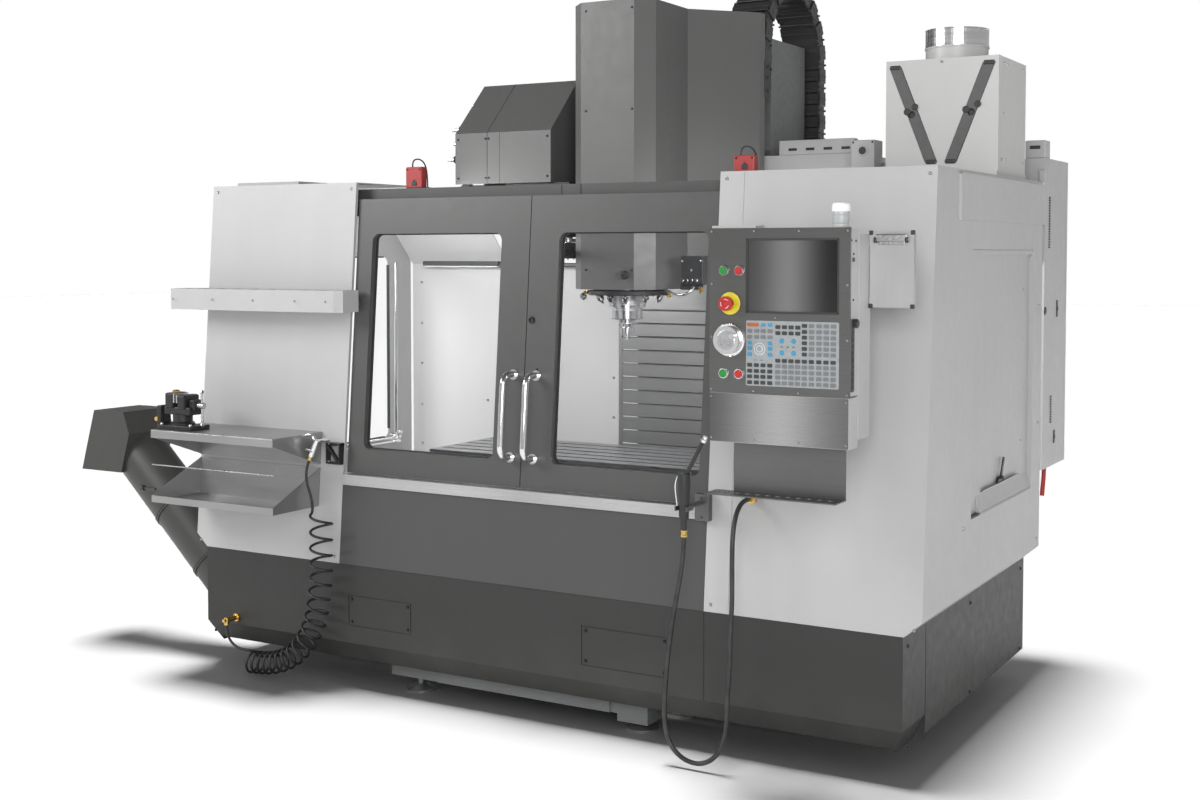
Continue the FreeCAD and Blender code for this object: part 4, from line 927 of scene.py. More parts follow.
# Door switches: two red moulded safety switch boxes, each with a black slot and a short loop of
# cable, screwed on the track housing.
red_coat = finish_of("switch_red", moulded_grain, (0.36, 0.035, 0.035), 0.36)
switch_boxes = bmesh.new()
switch_slots = bmesh.new()
for left, right, low, high, y in ((-520, -452, 1700, 1772, 160), (712, 780, 1722, 1772, 150)):
    add_box(switch_boxes, (left, y, low), (right, y + 30, high), 4)
    add_box(switch_slots, (left + 26, y - 2, low + 8), (right - 22, y + 4, low + 22), 1)
    add_box(switch_slots, (left + 32, y - 2, low + 22), (right - 28, y + 4, low + 28), 1)
    for x in (left + 8, right - 8):
        add_screw(switch_slots, (x, y, high - 9), FRONT, 3.5, 2)
    add_pipe(switch_slots, [(left + 16, y + 18, high - 2), (left + 16, y + 18, high + 14),
        (left + 22, y + 20, high + 26), (left + 40, y + 26, high + 28), (left + 54, y + 36, high + 14),
        (left + 56, y + 48, high - 20), (left + 56, y + 50, 1702)], 2.6)
fitted("switch_boxes", switch_boxes, red_coat)
fitted("switch_slots", switch_slots, black_plastic)


# Duct sleeve: a thin rolled steel sleeve with a bead at both ends. It is slipped over the
# extractor's collar.
DUCT_AXIS = (1142, 965)
duct_sleeve = bmesh.new()
add_turned(duct_sleeve, [(101.6, 0), (103.4, 0), (103.4, 3), (102.4, 4), (102.4, 53), (103.4, 54),
    (103.4, 57), (101.6, 57), (101.6, 0)], (*DUCT_AXIS, 2156), UP, 64)
fitted("duct_sleeve", duct_sleeve, finish_of("sleeve_steel", brushed_grain, (0.72, 0.72, 0.73), 0.2,
    1.0, Run=(3, 3, 60)))


# Roof boxes: a terminal box with a cable hole beside the extractor, a folded rail on the column's
# roof frame, and a small capped duct where the cables enter the cabinet.
roof_boxes = bmesh.new()
add_boxes(roof_boxes, ((690, 1190, 1722.5), (778, 1278, 1884), 3),
    ((362, 1304, 1846.5), (660, 1344, 1902), 3), ((1284, 1300, 1806.5), (1352, 1372, 1868), 3),
    ((1336, 1284, 1724), (1357, 1296, 1764), 2))
add_turned(roof_boxes, [(14, 0), (20, 0), (20, 2), (17, 3.5), (14, 3.5), (14, 0)], (734, 1190, 1846),
    FRONT, 32)
fitted("roof_boxes", roof_boxes, white_coat)
# Apart from the screws, these are thin black plates on the faces: painted shade standing for the cable
# hole and the other openings.
roof_holes = bmesh.new()
add_turned(roof_holes, [(0, 0), (14, 0), (14, 1.5), (0, 1.5)], (734, 1190, 1846), FRONT, 28)
for x, z in ((698, 1732), (770, 1732), (698, 1876), (770, 1876)):
    add_screw(roof_holes, (x, 1190, z), FRONT, 4, 2.4)
for x in (400, 470, 540, 610):
    add_box(roof_holes, (x, 1302.6, 1862), (x + 34, 1305, 1872), 1)
add_box(roof_holes, (1300, 1298.6, 1838), (1336, 1301, 1850), 1)
for x in (105, 176):
    add_box(roof_holes, (x, 152.5, 1666), (x + 3, 155, 1698), 0.6)
add_box(roof_holes, (-1052, 300, 1722), (-900, 308, 1724.5), 1)
add_box(roof_holes, (-1052, 380, 1722), (-900, 388, 1724.5), 1)
fitted("roof_openings", roof_holes, black_plastic)


# Column's back: a coated cover plate over the ball screw's tunnel, a corrugated conduit to the
# cabinet, and two forged eyes on top for lifting.
column_cover = bmesh.new()
add_plate(column_cover, upright(-150, 150, 640, 2180, 1725), (0, 4, 0), 12)
fitted("column_cover", column_cover, white_coat)
column_trim = bmesh.new()
for z in (660, 960, 1260, 1560, 1860, 2160):
    for x in (-134, 134):
        add_screw(column_trim, (x, 1729, z), BACK, 6, 4)
for x in (-200, 200):
    add_turned(column_trim, [(0, 0), (22, 0), (22, 5), (12, 8), (10, 16), (0, 16)], (x, 1520, 2300), UP,
        24)
    add_pipe(column_trim, [(x - 9, 1520, 2312), (x - 22, 1520, 2330), (x - 20, 1520, 2352),
        (x, 1520, 2364), (x + 20, 1520, 2352), (x + 22, 1520, 2330), (x + 9, 1520, 2312)], 6)
fitted("column_trim", column_trim, zinc_steel)
conduit = bmesh.new()
add_pipe(conduit, [(290, 1660, 1180), (340, 1662, 1180), (420, 1664, 1150), (520, 1640, 1090),
    (620, 1560, 1060), (680, 1510, 1056), (705, 1500, 1056)], 17)
for step in range(4):
    add_turned(conduit, [(17, 0), (23, 0), (23, 6), (17, 6), (17, 0)], (291 + 7 * step, 1660, 1180),
        RIGHT, 20)
fitted("column_conduit", conduit, seal_rubber)


# Mist extractor: a coated fan box on the roof with a spiral duct collar, and two grey pleated
# filters in front that lift out by finger notches. Black caps close the tops of their frames.
extractor_coat = finish_of("extractor_coat", coat_grain, (0.52, 0.52, 0.51), 0.38, Peel=0.8)
dress(extractor_coat, "extractor_case")
dress(finish_of("filter_media", moulded_grain, (0.10, 0.10, 0.10), 0.6), "filter_left", "filter_right")
extractor_trim = bmesh.new()
for y, z in ((859, 2084), (895, 2084), (854, 1925), (837, 1778), (884, 1778), (1100, 2084),
        (1100, 1778)):
    add_screw(extractor_trim, (1327, y, z), RIGHT, 5, 3)
    add_screw(extractor_trim, (957, y, z), LEFT, 5, 3)
add_screw(extractor_trim, (1142, 800, 2094), FRONT, 5, 3)
for x, y in around(DUCT_AXIS, 110, range(0, 360, 45)):
    add_screw(extractor_trim, (x, y, 2105), UP, 4, 3)
fitted("extractor_screws", extractor_trim, zinc_steel)
duct_seam = bmesh.new()
add_turned(duct_seam, [(100.8, 0), (104.5, 0), (104.5, 5), (100.8, 5), (100.8, 0)], (*DUCT_AXIS, 2150),
    UP, 64)
add_turned(duct_seam, [(100.8, 0), (112, 0), (112, 3), (100.8, 3), (100.8, 0)], (*DUCT_AXIS, 2105), UP,
    64)
fitted("duct_collar_rings", duct_seam, extractor_coat)
for side, top, foot in (("left", 988, 1110), ("right", 1296, 1174)):
    caps = bmesh.new()
    for x, z in ((top, 2083), (foot, 1774)):
        add_box(caps, (x - 17, 795.5, z - 7), (x + 17, 802, z + 7), 2.5)
    for share, out in ((0.42, 16), (0.47, -16)):
        x = top + (foot - top) * share
        add_turned(caps, [(0, 0), (11, 0), (11, 2), (9, 3), (0, 3)],
            (x + out, 798.5, 2083 - 309 * share), FRONT, 24)
    fitted(side + "_filter_caps", caps, black_plastic, "filter_" + side)


# Control cabinet: a tall coated sheet-steel box behind the chamber, with a hinged rear door, vent
# slots, quarter-turn latches and locks, and a red air line that leaves it below.
dress(white_coat, "cabinet_door", "cabinet_case")
# The vent slots are rows of thin black plates: painted shade inside the slots.
vents = bmesh.new()
for low, high, y in ((1497, 1681, 1357), (882, 987, 1407)):
    for step in range(int((high - low) / 9)):
        add_box(vents, (1355.5, y - 9, low + 9 * step), (1358.2, y + 9, low + 9 * step + 6.5), 0.8)
fitted("cabinet_vents", vents, black_plastic)
latches = bmesh.new()
for y, low, high in ((1480, 1253, 1313), (1461, 805, 852)):
    add_box(latches, (1353, y - 10, low), (1358.5, y + 10, high), 2)
    add_turned(latches, [(0, 0), (8, 0), (8, 2), (6, 2.4), (0, 2.4)], (1358, y, (low + high) / 2),
        RIGHT, 20)
add_turned(latches, [(0, 0), (14, 0), (14, 2), (10, 4), (0, 4.6)], (1356, 1309, 1280), RIGHT, 28)
fitted("cabinet_latches", latches, black_plastic)
for height in (900, 1640):
    grip = bmesh.new()
    add_turned(grip, [(0, 0), (15, 0), (15, 4), (11, 6), (11, 9), (0, 9)], (1320, 1624, height), BACK,
        28)
    add_box(grip, (1316, 1631, height - 12), (1324, 1636, height + 12), 1)
    fitted("cabinet_door_lock_%d" % height, grip, black_plastic, "cabinet_door")
cabinet_pipe = bmesh.new()
add_pipe(cabinet_pipe, [(1330, 1431, 729), (1330, 1431, 700), (1330, 1426, 676), (1330, 1416, 650),
    (1330, 1408, 622)], 8)
fitted("cabinet_air_line", cabinet_pipe, finish_of("red_hose", moulded_grain, (0.45, 0.03, 0.025),
    0.35))


# Control pendant: a coated sheet-steel case on a swivel arm, with a brushed stainless face plate, a
# lower box of the same steel and a folded, punched tray below.
dress(white_coat, "pendant_case")
face_steel = finish_of("face_steel", brushed_grain, (0.125, 0.125, 0.123), 0.32, 0.75, Run=RUN_X)
tray_steel = finish_of("tray_steel", brushed_grain, (0.14, 0.14, 0.14), 0.32, 0.75, Run=RUN_X)
dress(face_steel, "pendant_face")
dress(tray_steel, "pendant_tray")
FACE = -250.0                   # the face plate's front, and the lower box's just behind it
LOWER_FACE = FACE + 1


def reflection_banded_sheet(name, left, right, stops, roughness, metallic=0.0):
    """A sheet whose tone runs through these stops across its width, a painted reflection in bands, with
    its own fine grain.
    """
    material = surface(name, (0.3, 0.3, 0.3), roughness, metallic)
    tree = material.node_tree
    parts = tree.nodes.new("ShaderNodeSeparateXYZ")
    tree.links.new(object_place(tree), parts.inputs[0])
    across = spread(tree, parts.outputs["X"], 0, 1, at(left, 0, 0).x, at(right, 0, 0).x)
    tone = tree.nodes.new("ShaderNodeValToRGB")
    ramp = tone.color_ramp
    ramp.interpolation = "B_SPLINE"
    for end, (position, value) in zip(ramp.elements, (stops[0], stops[-1])):
        end.color = (value, value, value, 1)
    for position, value in stops[1:-1]:
        ramp.elements.new(position).color = (value, value, value, 1)
    tree.links.new(across, tone.inputs["Fac"])
    brush = stretched(tree, object_place(tree), RUN_X)
    shader = tree.nodes["Principled BSDF"]
    tree.links.new(shaded(tree, tone.outputs["Color"], cloud(tree, brush, 1, 5, 0.94, 1.06)),
        shader.inputs["Base Color"])
    tree.links.new(cloud(tree, brush, 1.7, 4, roughness - 0.05, roughness + 0.08),
        shader.inputs["Roughness"])
    return material


# The lower cover's lighter and darker bands across its width are painted reflection.
cover_steel = reflection_banded_sheet("cover_steel", 829, 1231, ((0, 0.09), (0.2, 0.18), (0.45, 0.42),
    (0.62, 0.36), (0.8, 0.2), (1, 0.13)), 0.3, 0.6)
lower_cover = bmesh.new()
add_plate(lower_cover, upright(829.5, 1230, 965, 1098, LOWER_FACE), (0, 2.5, 0), 3)
fitted("pendant_lower_cover", lower_cover, cover_steel, "pendant")
face_screws = bmesh.new()
for x, z in ((834, 1538), (960, 1538), (1090, 1538), (1226, 1538), (834, 1396), (1226, 1396),
        (834, 1251), (1226, 1251), (834, 1108), (1226, 1108), (960, 1107), (1090, 1107), (1024, 1306)):
    add_screw(face_screws, (x, FACE, z), FRONT, 3.6, 2.2)
for x, z in ((834, 1088), (1224, 1088), (834, 975), (960, 975), (1090, 975), (1224, 975)):
    add_screw(face_screws, (x, LOWER_FACE, z), FRONT, 3.6, 2.2)
fitted("pendant_face_screws", face_screws, zinc_steel, "pendant")
side_fittings = bmesh.new()
for y, z in ((-237, 1513), (-205, 1512), (-222, 1477), (-222, 1357)):
    add_screw(side_fittings, (1231, y, z), RIGHT, 3.4, 2)
add_box(side_fittings, (1230, -229, 1457), (1234, -217, 1468), 1)
add_box(side_fittings, (1229, -236, 1115), (1233.5, -214, 1307), 2)
add_turned(side_fittings, [(0, 0), (10, 0), (12, 2), (12, 10), (10, 12), (0, 12)], (1231, -214, 1295),
    RIGHT, 20)
for step in range(9):
    add_box(side_fittings, (1233, -231, 1122 + 18 * step), (1235, -219, 1132 + 18 * step), 0.8)
fitted("pendant_side_fittings", side_fittings, black_plastic, "pendant")


# Screen: a dark glass panel in a black surround, recessed in the face plate. It is off, and the drift
# of its tone from a soft grey to black across its width is a painted reflection.
screen_frame = bmesh.new()
add_plate(screen_frame, upright(936.5, 1202.5, 1318.5, 1518.5, -246), (0, -3.5, 0), 2, 5)
fitted("screen_surround", screen_frame, black_plastic, "pendant")
dark_glass = reflection_banded_sheet("dark_glass", 941, 1199, ((0, 0.04), (0.2, 0.07), (0.42, 0.17), (0.58, 0.12),
    (0.8, 0.012), (1, 0.004)), 0.14)
screen = bmesh.new()
add_plate(screen, upright(940, 1199, 1322, 1515, -247.6), (0, 2, 0), 2)
fitted("screen_glass", screen, dark_glass, "pendant")


# Keypad: a flush membrane with rows of small domed keys in groups. The keys are bare, and their
# colours mark the groups: one orange, some blue, the others dark or grey.
KEY_FACE = FACE - 1


def add_key(mesh, x, z, width=7.0, height=5.0):
    """One domed key on the membrane."""
    add_plate(mesh, upright(x - width, x + width, z - height, z + height, KEY_FACE), (0, -1.4, 0), 2.2)


membrane = bmesh.new()
add_plate(membrane, upright(938, 1204, 1122, 1298, -250), (0, -1.0, 0), 4)
fitted("keypad_membrane", membrane, finish_of("membrane_film", moulded_grain, (0.29, 0.31, 0.32), 0.3),
    "pendant")

dark_keys, grey_keys, blue_keys, orange_key = (bmesh.new() for _ in range(4))
LEFT_BLOCK = (949, 969, 988, 1008)
MIDDLE_BLOCK = (1031, 1050, 1069, 1088)
RIGHT_BLOCK = (1107, 1127, 1148, 1168, 1188)
add_key(orange_key, 958, 1287, 17, 4.5)
for x in (988, 1008):
    add_key(blue_keys, x, 1287, 6, 4.5)
for z in (1270, 1254):
    for x in LEFT_BLOCK:
        add_key(grey_keys, x, z)
for z in (1238, 1223, 1207):
    for x in (949, 1008):
        add_key(blue_keys, x, z, 6, 5)
for z in (1178, 1162, 1147, 1131):
    for x in LEFT_BLOCK:
        add_key(dark_keys, x, z)
for z in (1282, 1266):
    for x in MIDDLE_BLOCK:
        add_key(dark_keys, x, z)
for z in (1287, 1271, 1256, 1241, 1226, 1211):
    for x in RIGHT_BLOCK:
        add_key(dark_keys if x == RIGHT_BLOCK[0] else grey_keys, x, z)
for z in (1192, 1177, 1162, 1147, 1132):
    for x in MIDDLE_BLOCK + RIGHT_BLOCK:
        add_key(dark_keys if z > 1185 else grey_keys, x, z)
for x in (1042, 1076):
    for z in (1245, 1213):
        add_turned(blue_keys, [(0, 0), (6.4, 0), (6.4, 1), (5.4, 2), (0, 2)], (x, KEY_FACE, z), FRONT,
            20)
for x in (1042, 1059, 1076):
    add_key(grey_keys, x, 1229, 3, 2)
for low, high in ((962, 970), (980, 988)):
    add_plate(dark_keys, upright(low, high, 1191, 1192.2, KEY_FACE), (0, -0.4, 0))
key_finishes = (("dark_keys", dark_keys, (0.035, 0.034, 0.034)),
    ("grey_keys", grey_keys, (0.16, 0.16, 0.165)), ("blue_keys", blue_keys, (0.045, 0.25, 0.42)),
    ("orange_key", orange_key, (0.42, 0.09, 0.02)))
for name, keys, color in key_finishes:
    silicone = finish_of(name + "_silicone", moulded_grain, color, 0.4)
    fitted(name, keys, silicone, "pendant")
dial_ring = bmesh.new()
for outer in (16.5, 9.5):
    add_turned(dial_ring, [(outer - 1.6, 0), (outer, 0), (outer, 0.7), (outer - 1.6, 0.7),
        (outer - 1.6, 0)], (978, KEY_FACE, 1222), FRONT, 32)
fitted("feed_ring", dial_ring, finish_of("ring_print", moulded_grain, (0.62, 0.63, 0.63), 0.4),
    "pendant")


# Push buttons, jog wheel and emergency stop: moulded coloured caps in chromed bezels, a turned
# aluminium wheel with a finger knob, and a red mushroom head over a yellow ring.
green_cap = finish_of("green_cap", moulded_grain, (0.015, 0.22, 0.035), 0.28)
red_cap = finish_of("red_cap", moulded_grain, (0.42, 0.02, 0.02), 0.26)
dress(green_cap, "power_on_button", "cycle_start_button")
dress(red_cap, "power_off_button", "feed_hold_button", "emergency_stop")
bezels = bmesh.new()
for x, z in ((871, 1432), (917, 1432), (871, 1152), (917, 1152)):
    add_turned(bezels, [(11.6, 0), (15, 0), (15, 2), (13, 5.5), (11.6, 5.5), (11.6, 0)], (x, FACE, z),
        FRONT, 32)
fitted("button_bezels", bezels, chrome, "pendant")
stop_ring = bmesh.new()
add_turned(stop_ring, [(12, 0), (30, 0), (30.5, 1), (30.5, 2.5), (29, 3.2), (12, 3.2), (12, 0)],
    (890, FACE, 1343), FRONT, 48)
fitted("stop_ring", stop_ring, finish_of("stop_ring_yellow", moulded_grain, (0.66, 0.55, 0.03), 0.35),
    "pendant")
STOP = (888, 1343)
stop_cap = bmesh.new()
for turn in (40, 160, 280):
    rib = []
    for radius, further, y in ((13, 0, -280.6), (13, 0.5, -280.8), (12, 1.0, -280.6)):
        (x, z), = around(STOP, radius, [turn + math.degrees(further)])
        rib.append((x, y, z))
    add_pipe(stop_cap, rib, 1.1)
fitted("stop_twist_ribs", stop_cap, finish_of("stop_mark", moulded_grain, (0.6, 0.6, 0.58), 0.4),
    "emergency_stop")
dress(finish_of("wheel_metal", brushed_grain, (0.60, 0.60, 0.60), 0.26, 0.9, Run=(3, 3, 3)),
    "jog_wheel")
WHEEL = (888, 1244)
wheel_bezel = bmesh.new()
add_turned(wheel_bezel, [(38.4, 0), (45, 0), (46, 1), (46, 3), (43, 6), (38.4, 6), (38.4, 0)],
    (888, FACE, 1244), FRONT, 56)
for step in range(50):
    mark = 5.2 if step % 5 == 0 else 3.2
    (x, z), = around(WHEEL, 45, [7.2 * step])
    (inner_x, inner_z), = around(WHEEL, 45 - mark, [7.2 * step])
    add_rod(wheel_bezel, (x, FACE - 5.2, z), (inner_x, FACE - 6.2, inner_z), 0.5, None, 6)
fitted("jog_wheel_bezel", wheel_bezel, chrome, "pendant")
wheel_disc = bmesh.new()
add_turned(wheel_disc, [(0, 0), (27, 0), (27, 0.6), (25, 1.4), (0, 1.4)], (888, -274, 1244), FRONT, 40)
fitted("jog_wheel_disc", wheel_disc, zinc_steel, "jog_wheel")


# Signal lamp: two moulded tiers on a round foot on top of the pendant, a clear lens below and a
# white one above it.
BEACON_AXIS = (1188, -200)
beacon = bmesh.new()
add_turned(beacon, [(0, 0), (24, 0), (24, 6), (21, 8), (21, 14), (0, 14)], (*BEACON_AXIS, 1543), UP, 40)
fitted("beacon_foot", beacon, extractor_coat, "pendant")
beacon_lens = bmesh.new()
add_turned(beacon_lens, [(0, 0), (21, 0), (22, 2), (22, 22), (21, 24), (22, 26), (22, 32), (0, 32)],
    (*BEACON_AXIS, 1557), UP, 40)
fitted("beacon_lens", beacon_lens, finish_of("clear_lens", moulded_grain, (0.42, 0.45, 0.45), 0.12),
    "pendant")
beacon_top = bmesh.new()
add_turned(beacon_top, [(0, 0), (24, 0), (24.5, 1.5), (24.5, 18), (22, 23), (14, 25), (0, 25)],
    (*BEACON_AXIS, 1589), UP, 40)
fitted("beacon_top", beacon_top, lens_plastic, "pendant")


# Clipboard: a folded stainless holder screwed to the side of the pendant's rear box, with a clip bar
# at the top and black rubber corners.
clip_board = bmesh.new()
add_plate(clip_board, upright(1235, 1358, 1334, 1538, -112), (0, 3, 0), 4)
add_boxes(clip_board, ((1235, -110, 1334), (1358, -92, 1337), 0.8),
    ((1355.5, -110, 1336), (1358, -92, 1530), 0.8), ((1233, -112, 1360), (1237, -98, 1500), 0.8))
fitted("clip_board", clip_board, finish_of("board_steel", brushed_grain, (0.46, 0.46, 0.46), 0.36, 0.5,
    Run=RUN_Z), "pendant")
clip_bar = bmesh.new()
add_box(clip_bar, (1254, -124, 1510), (1342, -113, 1530), 3)
add_rod(clip_bar, (1250, -120, 1516), (1346, -120, 1516), 4)
add_box(clip_bar, (1262, -117, 1502), (1334, -113, 1512), 1.2)
fitted("clip_bar", clip_bar, zinc_steel, "pendant")
board_corners = bmesh.new()
for x in (1234, 1349):
    for z in (1332, 1528):
        add_box(board_corners, (x, -115, z), (x + 11, -106, z + 12), 2)
for x in (1250, 1336):
    add_box(board_corners, (x, -126, 1507), (x + 9, -113, 1522), 3)
fitted("board_corners", board_corners, seal_rubber, "pendant")


# Bench and bin: folded stainless steel with hemmed edges, hung on the left front panel. The bench
# carries a small machine vise with a round handle.
dress(finish_of("bench_steel", brushed_grain, (0.34, 0.34, 0.34), 0.34, 0.75, Run=RUN_X), "work_table",
    "storage_bin")
bench_hem = bmesh.new()
add_rod(bench_hem, (-1349, -213, 862), (-791, -213, 862), 2.6, None, 12)
add_rod(bench_hem, (-1349, -211, 742), (-791, -211, 742), 2.4, None, 12)
for x, y, z in ((-790, -20, 845), (-790, -196, 760), (-790, -20, 640), (-1350, -20, 845)):
    add_screw(bench_hem, (x, y, z), (1 if x > -1000 else -1, 0, 0), 4, 2.5)
fitted("bench_hems", bench_hem, zinc_steel)

VISE_Y = -141
vise = bmesh.new()
add_box(vise, (-1352, -186, 864), (-1186, -96, 880), 3)
add_turned(vise, [(0, 0), (42, 0), (42, 8), (34, 14), (34, 40), (0, 40)], (-1270, VISE_Y, 878), UP, 40)
add_boxes(vise, ((-1330, -172, 916), (-1206, -110, 944), 5), ((-1320, -178, 940), (-1282, -104, 992),
    6), ((-1262, -178, 936), (-1226, -104, 986), 6), ((-1226, -160, 930), (-1196, -122, 970), 5),
    ((-1372, -166, 872), (-1350, -118, 944), 4))
fitted("bench_vise", vise, black_iron)
vise_steel = bmesh.new()
add_box(vise_steel, (-1282, -176, 958), (-1276, -106, 990), 1)
add_box(vise_steel, (-1268, -176, 958), (-1262, -106, 984), 1)
add_rod(vise_steel, (-1196, VISE_Y, 950), (-1168, VISE_Y, 950), 11)
add_rod(vise_steel, (-1178, VISE_Y, 884), (-1178, VISE_Y, 996), 4.5)
for z in (882, 998):
    add_turned(vise_steel, [(0, -7), (5, -6), (8, 0), (5, 6), (0, 7)], (-1178, VISE_Y, z), UP, 16)
for x, y in ((-1338, -174), (-1338, -108), (-1202, -174), (-1202, -108)):
    add_screw(vise_steel, (x, y, 880), UP, 6, 5)
fitted("vise_jaws", vise_steel, ground_steel)
vise_brass = bmesh.new()
add_turned(vise_brass, [(0, 0), (14, 0), (14, 4), (10, 8), (0, 8)], (-1301, VISE_Y, 992), UP, 6)
add_turned(vise_brass, [(0, 0), (8, 0), (8, 6), (0, 6)], (-1348, -186, 900), FRONT, 20)
fitted("vise_studs", vise_brass, brass)


# Tool tray: a coated folded channel with a row of square slots for tool holders. Five small screws
# hold its front edge.
dress(white_coat, "tool_tray")
tray_screws = bmesh.new()
for x in (-1400, -1210, -1020, -830, -695):
    add_screw(tray_screws, (x, -55, 1316), FRONT, 4, 2.4)
fitted("tool_tray_screws", tray_screws, zinc_steel)


# Wash gun, blow gun and their holders: a moulded pistol with a chromed lance and brass ferrule, a
# cast chrome blow gun with a lever, and folded brackets that hold them on the panels.
dress(finish_of("gun_plastic", moulded_grain, (0.022, 0.022, 0.023), 0.34), "wash_gun")
dress(chrome, "air_gun")
dress(brass, "hose_fittings")
GUN_Y = -112
gun_trim = bmesh.new()
add_turned(gun_trim, [(7.4, 0), (10, 0), (10, 5), (8.6, 7), (8.6, 13), (10, 15), (10, 19), (7.4, 19),
    (7.4, 0)], (681, GUN_Y, 662), UP, 24)
fitted("wash_gun_ferrules", gun_trim, brass)
gun_chrome = bmesh.new()
add_turned(gun_chrome, [(6.4, 0), (9, 0), (9, 8), (7.5, 10), (7.5, 18), (6.4, 18), (6.4, 0)],
    (686 + 60 * 0.92, GUN_Y, 838 + 112 * 0.92), (60, 0, 112), 20)
add_turned(gun_chrome, [(0, 0), (6.3, 0), (6.3, 2), (6.3, 8), (5.0, 9), (0, 9)],
    (686 + 60 * 0.985, GUN_Y, 838 + 112 * 0.985), (60, 0, 112), 16)
add_pipe(gun_chrome, [(662, GUN_Y, 838), (652, GUN_Y, 820), (655, GUN_Y, 780), (662, GUN_Y, 740)], 3)
fitted("wash_gun_trigger", gun_chrome, chrome)
gun_holder = bmesh.new()
add_box(gun_holder, (660, -2, 690), (706, 24, 770), 2)
add_box(gun_holder, (668, -92, 742), (694, 0, 748), 1.5)
for x in (662, 698):
    add_box(gun_holder, (x - 2, -132, 738), (x + 2, -88, 752), 1)
for z in (702, 758):
    add_screw(gun_holder, (683, -2, z), FRONT, 4, 2.4)
fitted("wash_gun_holder", gun_holder, tray_steel)

air_trim = bmesh.new()
add_turned(air_trim, [(5.0, 0), (8, 0), (8, 6), (6.6, 8), (6.6, 15), (5.0, 15), (5.0, 0)],
    (-774.4, -50, 778.4), (30, 0, 60), 20)
fitted("air_gun_ferrule", air_trim, brass)
air_lever = bmesh.new()
add_pipe(air_lever, [(-744, -50, 846), (-756, -52, 862), (-776, -54, 866), (-800, -56, 856),
    (-812, -57, 842)], 3.4)
add_turned(air_lever, [(0, 0), (6, 0), (6, 8), (3, 12), (0, 12)], (-744, -58, 850), (-0.3, -0.4, 1), 16)
fitted("air_gun_lever", air_lever, chrome)
air_bracket = bmesh.new()
for x in (-751, -695):
    add_box(air_bracket, (x, 6, 760), (x + 4, 34, 832), 1)
add_plate(air_bracket, [(-747, 6, 818), (-741, 6, 826), (-697, 6, 772), (-703, 6, 764)], (0, 12, 0))
add_box(air_bracket, (-751, 14, 822), (-691, 34, 832), 1.5)
add_box(air_bracket, (-751, 14, 758), (-691, 34, 766), 1.5)
fitted("air_gun_bracket", air_bracket, black_iron)
bracket_screws = bmesh.new()
for x, z in ((-743, 768), (-699, 768), (-743, 826), (-699, 826)):
    add_screw(bracket_screws, (x, 14, z), FRONT, 4, 2.6)
fitted("air_bracket_screws", bracket_screws, zinc_steel)
bench_lever = bmesh.new()
add_rod(bench_lever, (-1404, -196, 652), (-1350, -196, 652), 5)
add_turned(bench_lever, [(0, 0), (9, 0), (11, 3), (11, 14), (9, 17), (0, 17)], (-1404, -196, 652), LEFT,
    20)
fitted("bin_latch_bar", bench_lever, black_plastic)


# Wash hose: 14 mm black rubber hose, crimped on a brass ferrule under the wash gun, hanging to the
# floor and up again to its union behind the pendant's shelf. Its outside is slightly cloth-marked.
WASH_THICK = 0.014


def hose_rubber(name, color, ring_scale):
    """Black rubber or polyurethane: a soft sheen broken by dust and a fine mould texture."""
    rubber = surface(name, color, 0.42)
    tree = rubber.node_tree
    place = object_place(tree)
    dust = noise(tree, place, 30, 6)
    dusty = [2.2 * c + 0.01 for c in color]
    shader = tree.nodes["Principled BSDF"]
    tree.links.new(two_tones(tree, dust, (0.35, color), (0.8, dusty)), shader.inputs["Base Color"])
    tree.links.new(spread(tree, dust, 0.3, 0.55), shader.inputs["Roughness"])
    tree.links.new(relief(tree, noise(tree, place, ring_scale), 0.0004, 0.25), shader.inputs["Normal"])
    return rubber


wash_route = route([(681, -112, 681), (681, -112, 610), (670, -122, 521), (655, -132, 425),
    (644, -138, 323), (638, -142, 240), (636, -146, 165), (641, -148, 98), (664, -150, 50),
    (708, -152, 23), (757, -153, 20), (801, -152, 45), (827, -149, 92), (836, -145, 160),
    (834, -139, 240), (838, -132, 320), (836, -128, 400), (839, -122, 480), (838, -120, 556),
    (839, -123, 620), (838, -118, 676), (837, -102, 722), (835, -72, 754), (834, -34, 768),
    (834, -4, 768)])
wash_hose = hose_line("wash_hose_line", wash_route, WASH_THICK)
wash_hose.data.materials.append(hose_rubber("wash_rubber", (0.018, 0.018, 0.018), 900))
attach(wash_hose, "machine")
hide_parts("wash_hose")


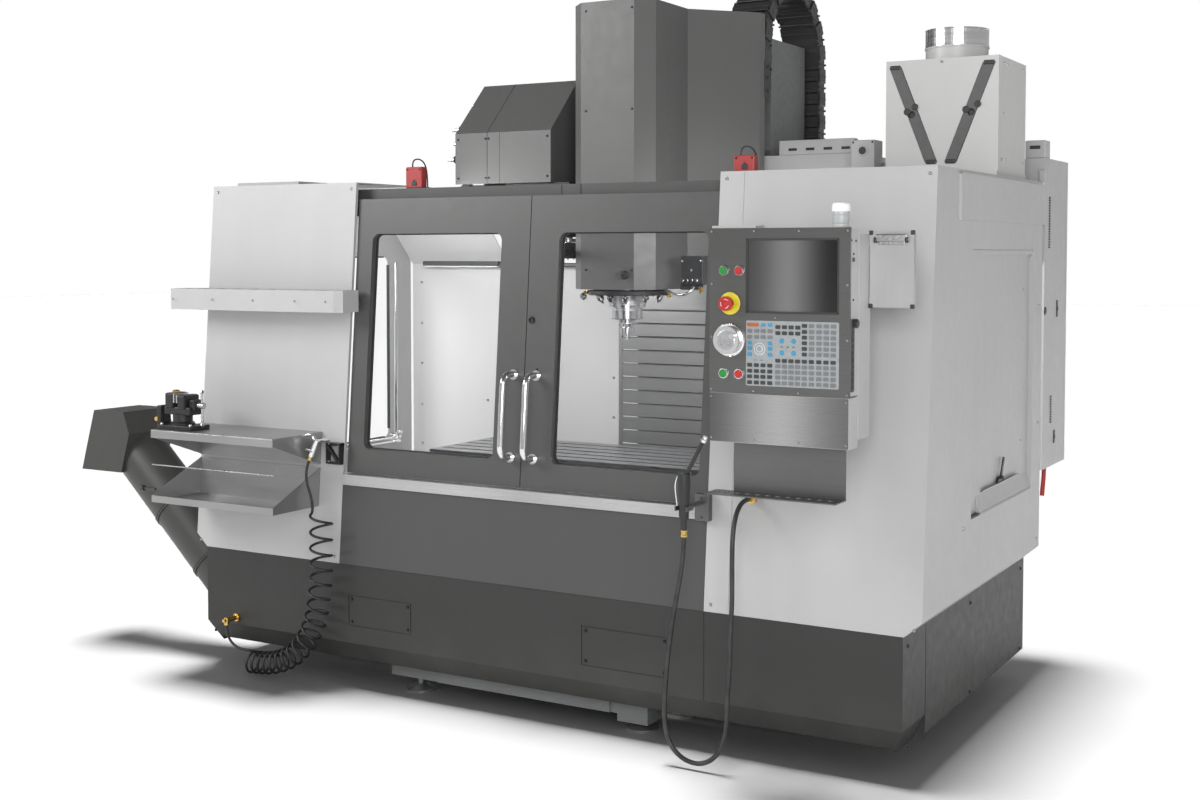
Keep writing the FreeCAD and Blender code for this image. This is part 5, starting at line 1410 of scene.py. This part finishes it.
# Air hose: 9 mm polyurethane hose, straight at both ends and wound into a curly spring between them.
# Its turns hang pulled open at the top and lie close together where they rest near the base.
AIR_THICK = 0.009
COIL_R = 0.0375                 # from the middle of the coil to the middle of the hose
coil_route = route([(-715, -62, 600), (-715, -62, 450), (-724, -62, 310), (-755, -61, 200),
    (-817, -60, 118), (-905, -55, 66), (-996, -54, 50), (-1050, -54, 50)])
air_top = route([(-768, -50, 792), (-781.4, -50, 765.2), (-784, -57, 733), (-777, -62, 700),
    (-763, -62, 668), (-752, -62, 634), (-752, -62, 600)])
air_end = route([(-1050, -54, 88), (-1100, -54, 88), (-1129, -54, 100), (-1148, -54, 119),
    (-1158, -54, 143), (-1158, -54, 165)])
COIL_TURNS = 19
POINTS_PER_TURN = 12


def middle_line(points):
    """Points along the smooth line that these control points make."""
    guide = hose_line("guide", points, 0)
    guide.data.bevel_depth = 0
    guide.data.resolution_u = 24
    mesh = bpy.data.meshes.new_from_object(guide.evaluated_get(bpy.context.evaluated_depsgraph_get()))
    line = [vertex.co.copy() for vertex in mesh.vertices]
    bpy.data.objects.remove(guide)
    return line


def coil_points(middle, turns, radius, crowding):
    """Control points of a helix around a line, its turns crowding together towards the line's end."""
    reach = [0.0]
    for before, after in zip(middle, middle[1:]):
        reach.append(reach[-1] + (after - before).length)
    points = []
    count = turns * POINTS_PER_TURN
    for step in range(count + 1):
        share = step / count
        wanted = reach[-1] * (share + crowding * share * (1 - share))
        spot = max(k for k in range(len(middle) - 1) if reach[k] <= wanted + 1e-9)
        along = (middle[spot + 1] - middle[spot]).normalized()
        centre = middle[spot] + along * (wanted - reach[spot])
        across = along.cross(Vector(BACK)).normalized()
        outward = across.cross(along)
        turn = math.pi + 2 * math.pi * turns * share
        points.append(centre + radius * (math.cos(turn) * across + math.sin(turn) * outward))
    return points


coil = coil_points(middle_line(coil_route), COIL_TURNS, COIL_R, 0.44)
air_points = air_top[:-1] + coil + air_end[1:]
air_hose = hose_line("air_hose_line", air_points, AIR_THICK)
air_hose.data.resolution_u = 3
air_hose.data.bevel_resolution = 2
air_hose.data.materials.append(hose_rubber("air_hose_plastic", (0.012, 0.012, 0.013), 1400))
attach(air_hose, "machine")
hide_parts("air_hose", "air_hose_coils")
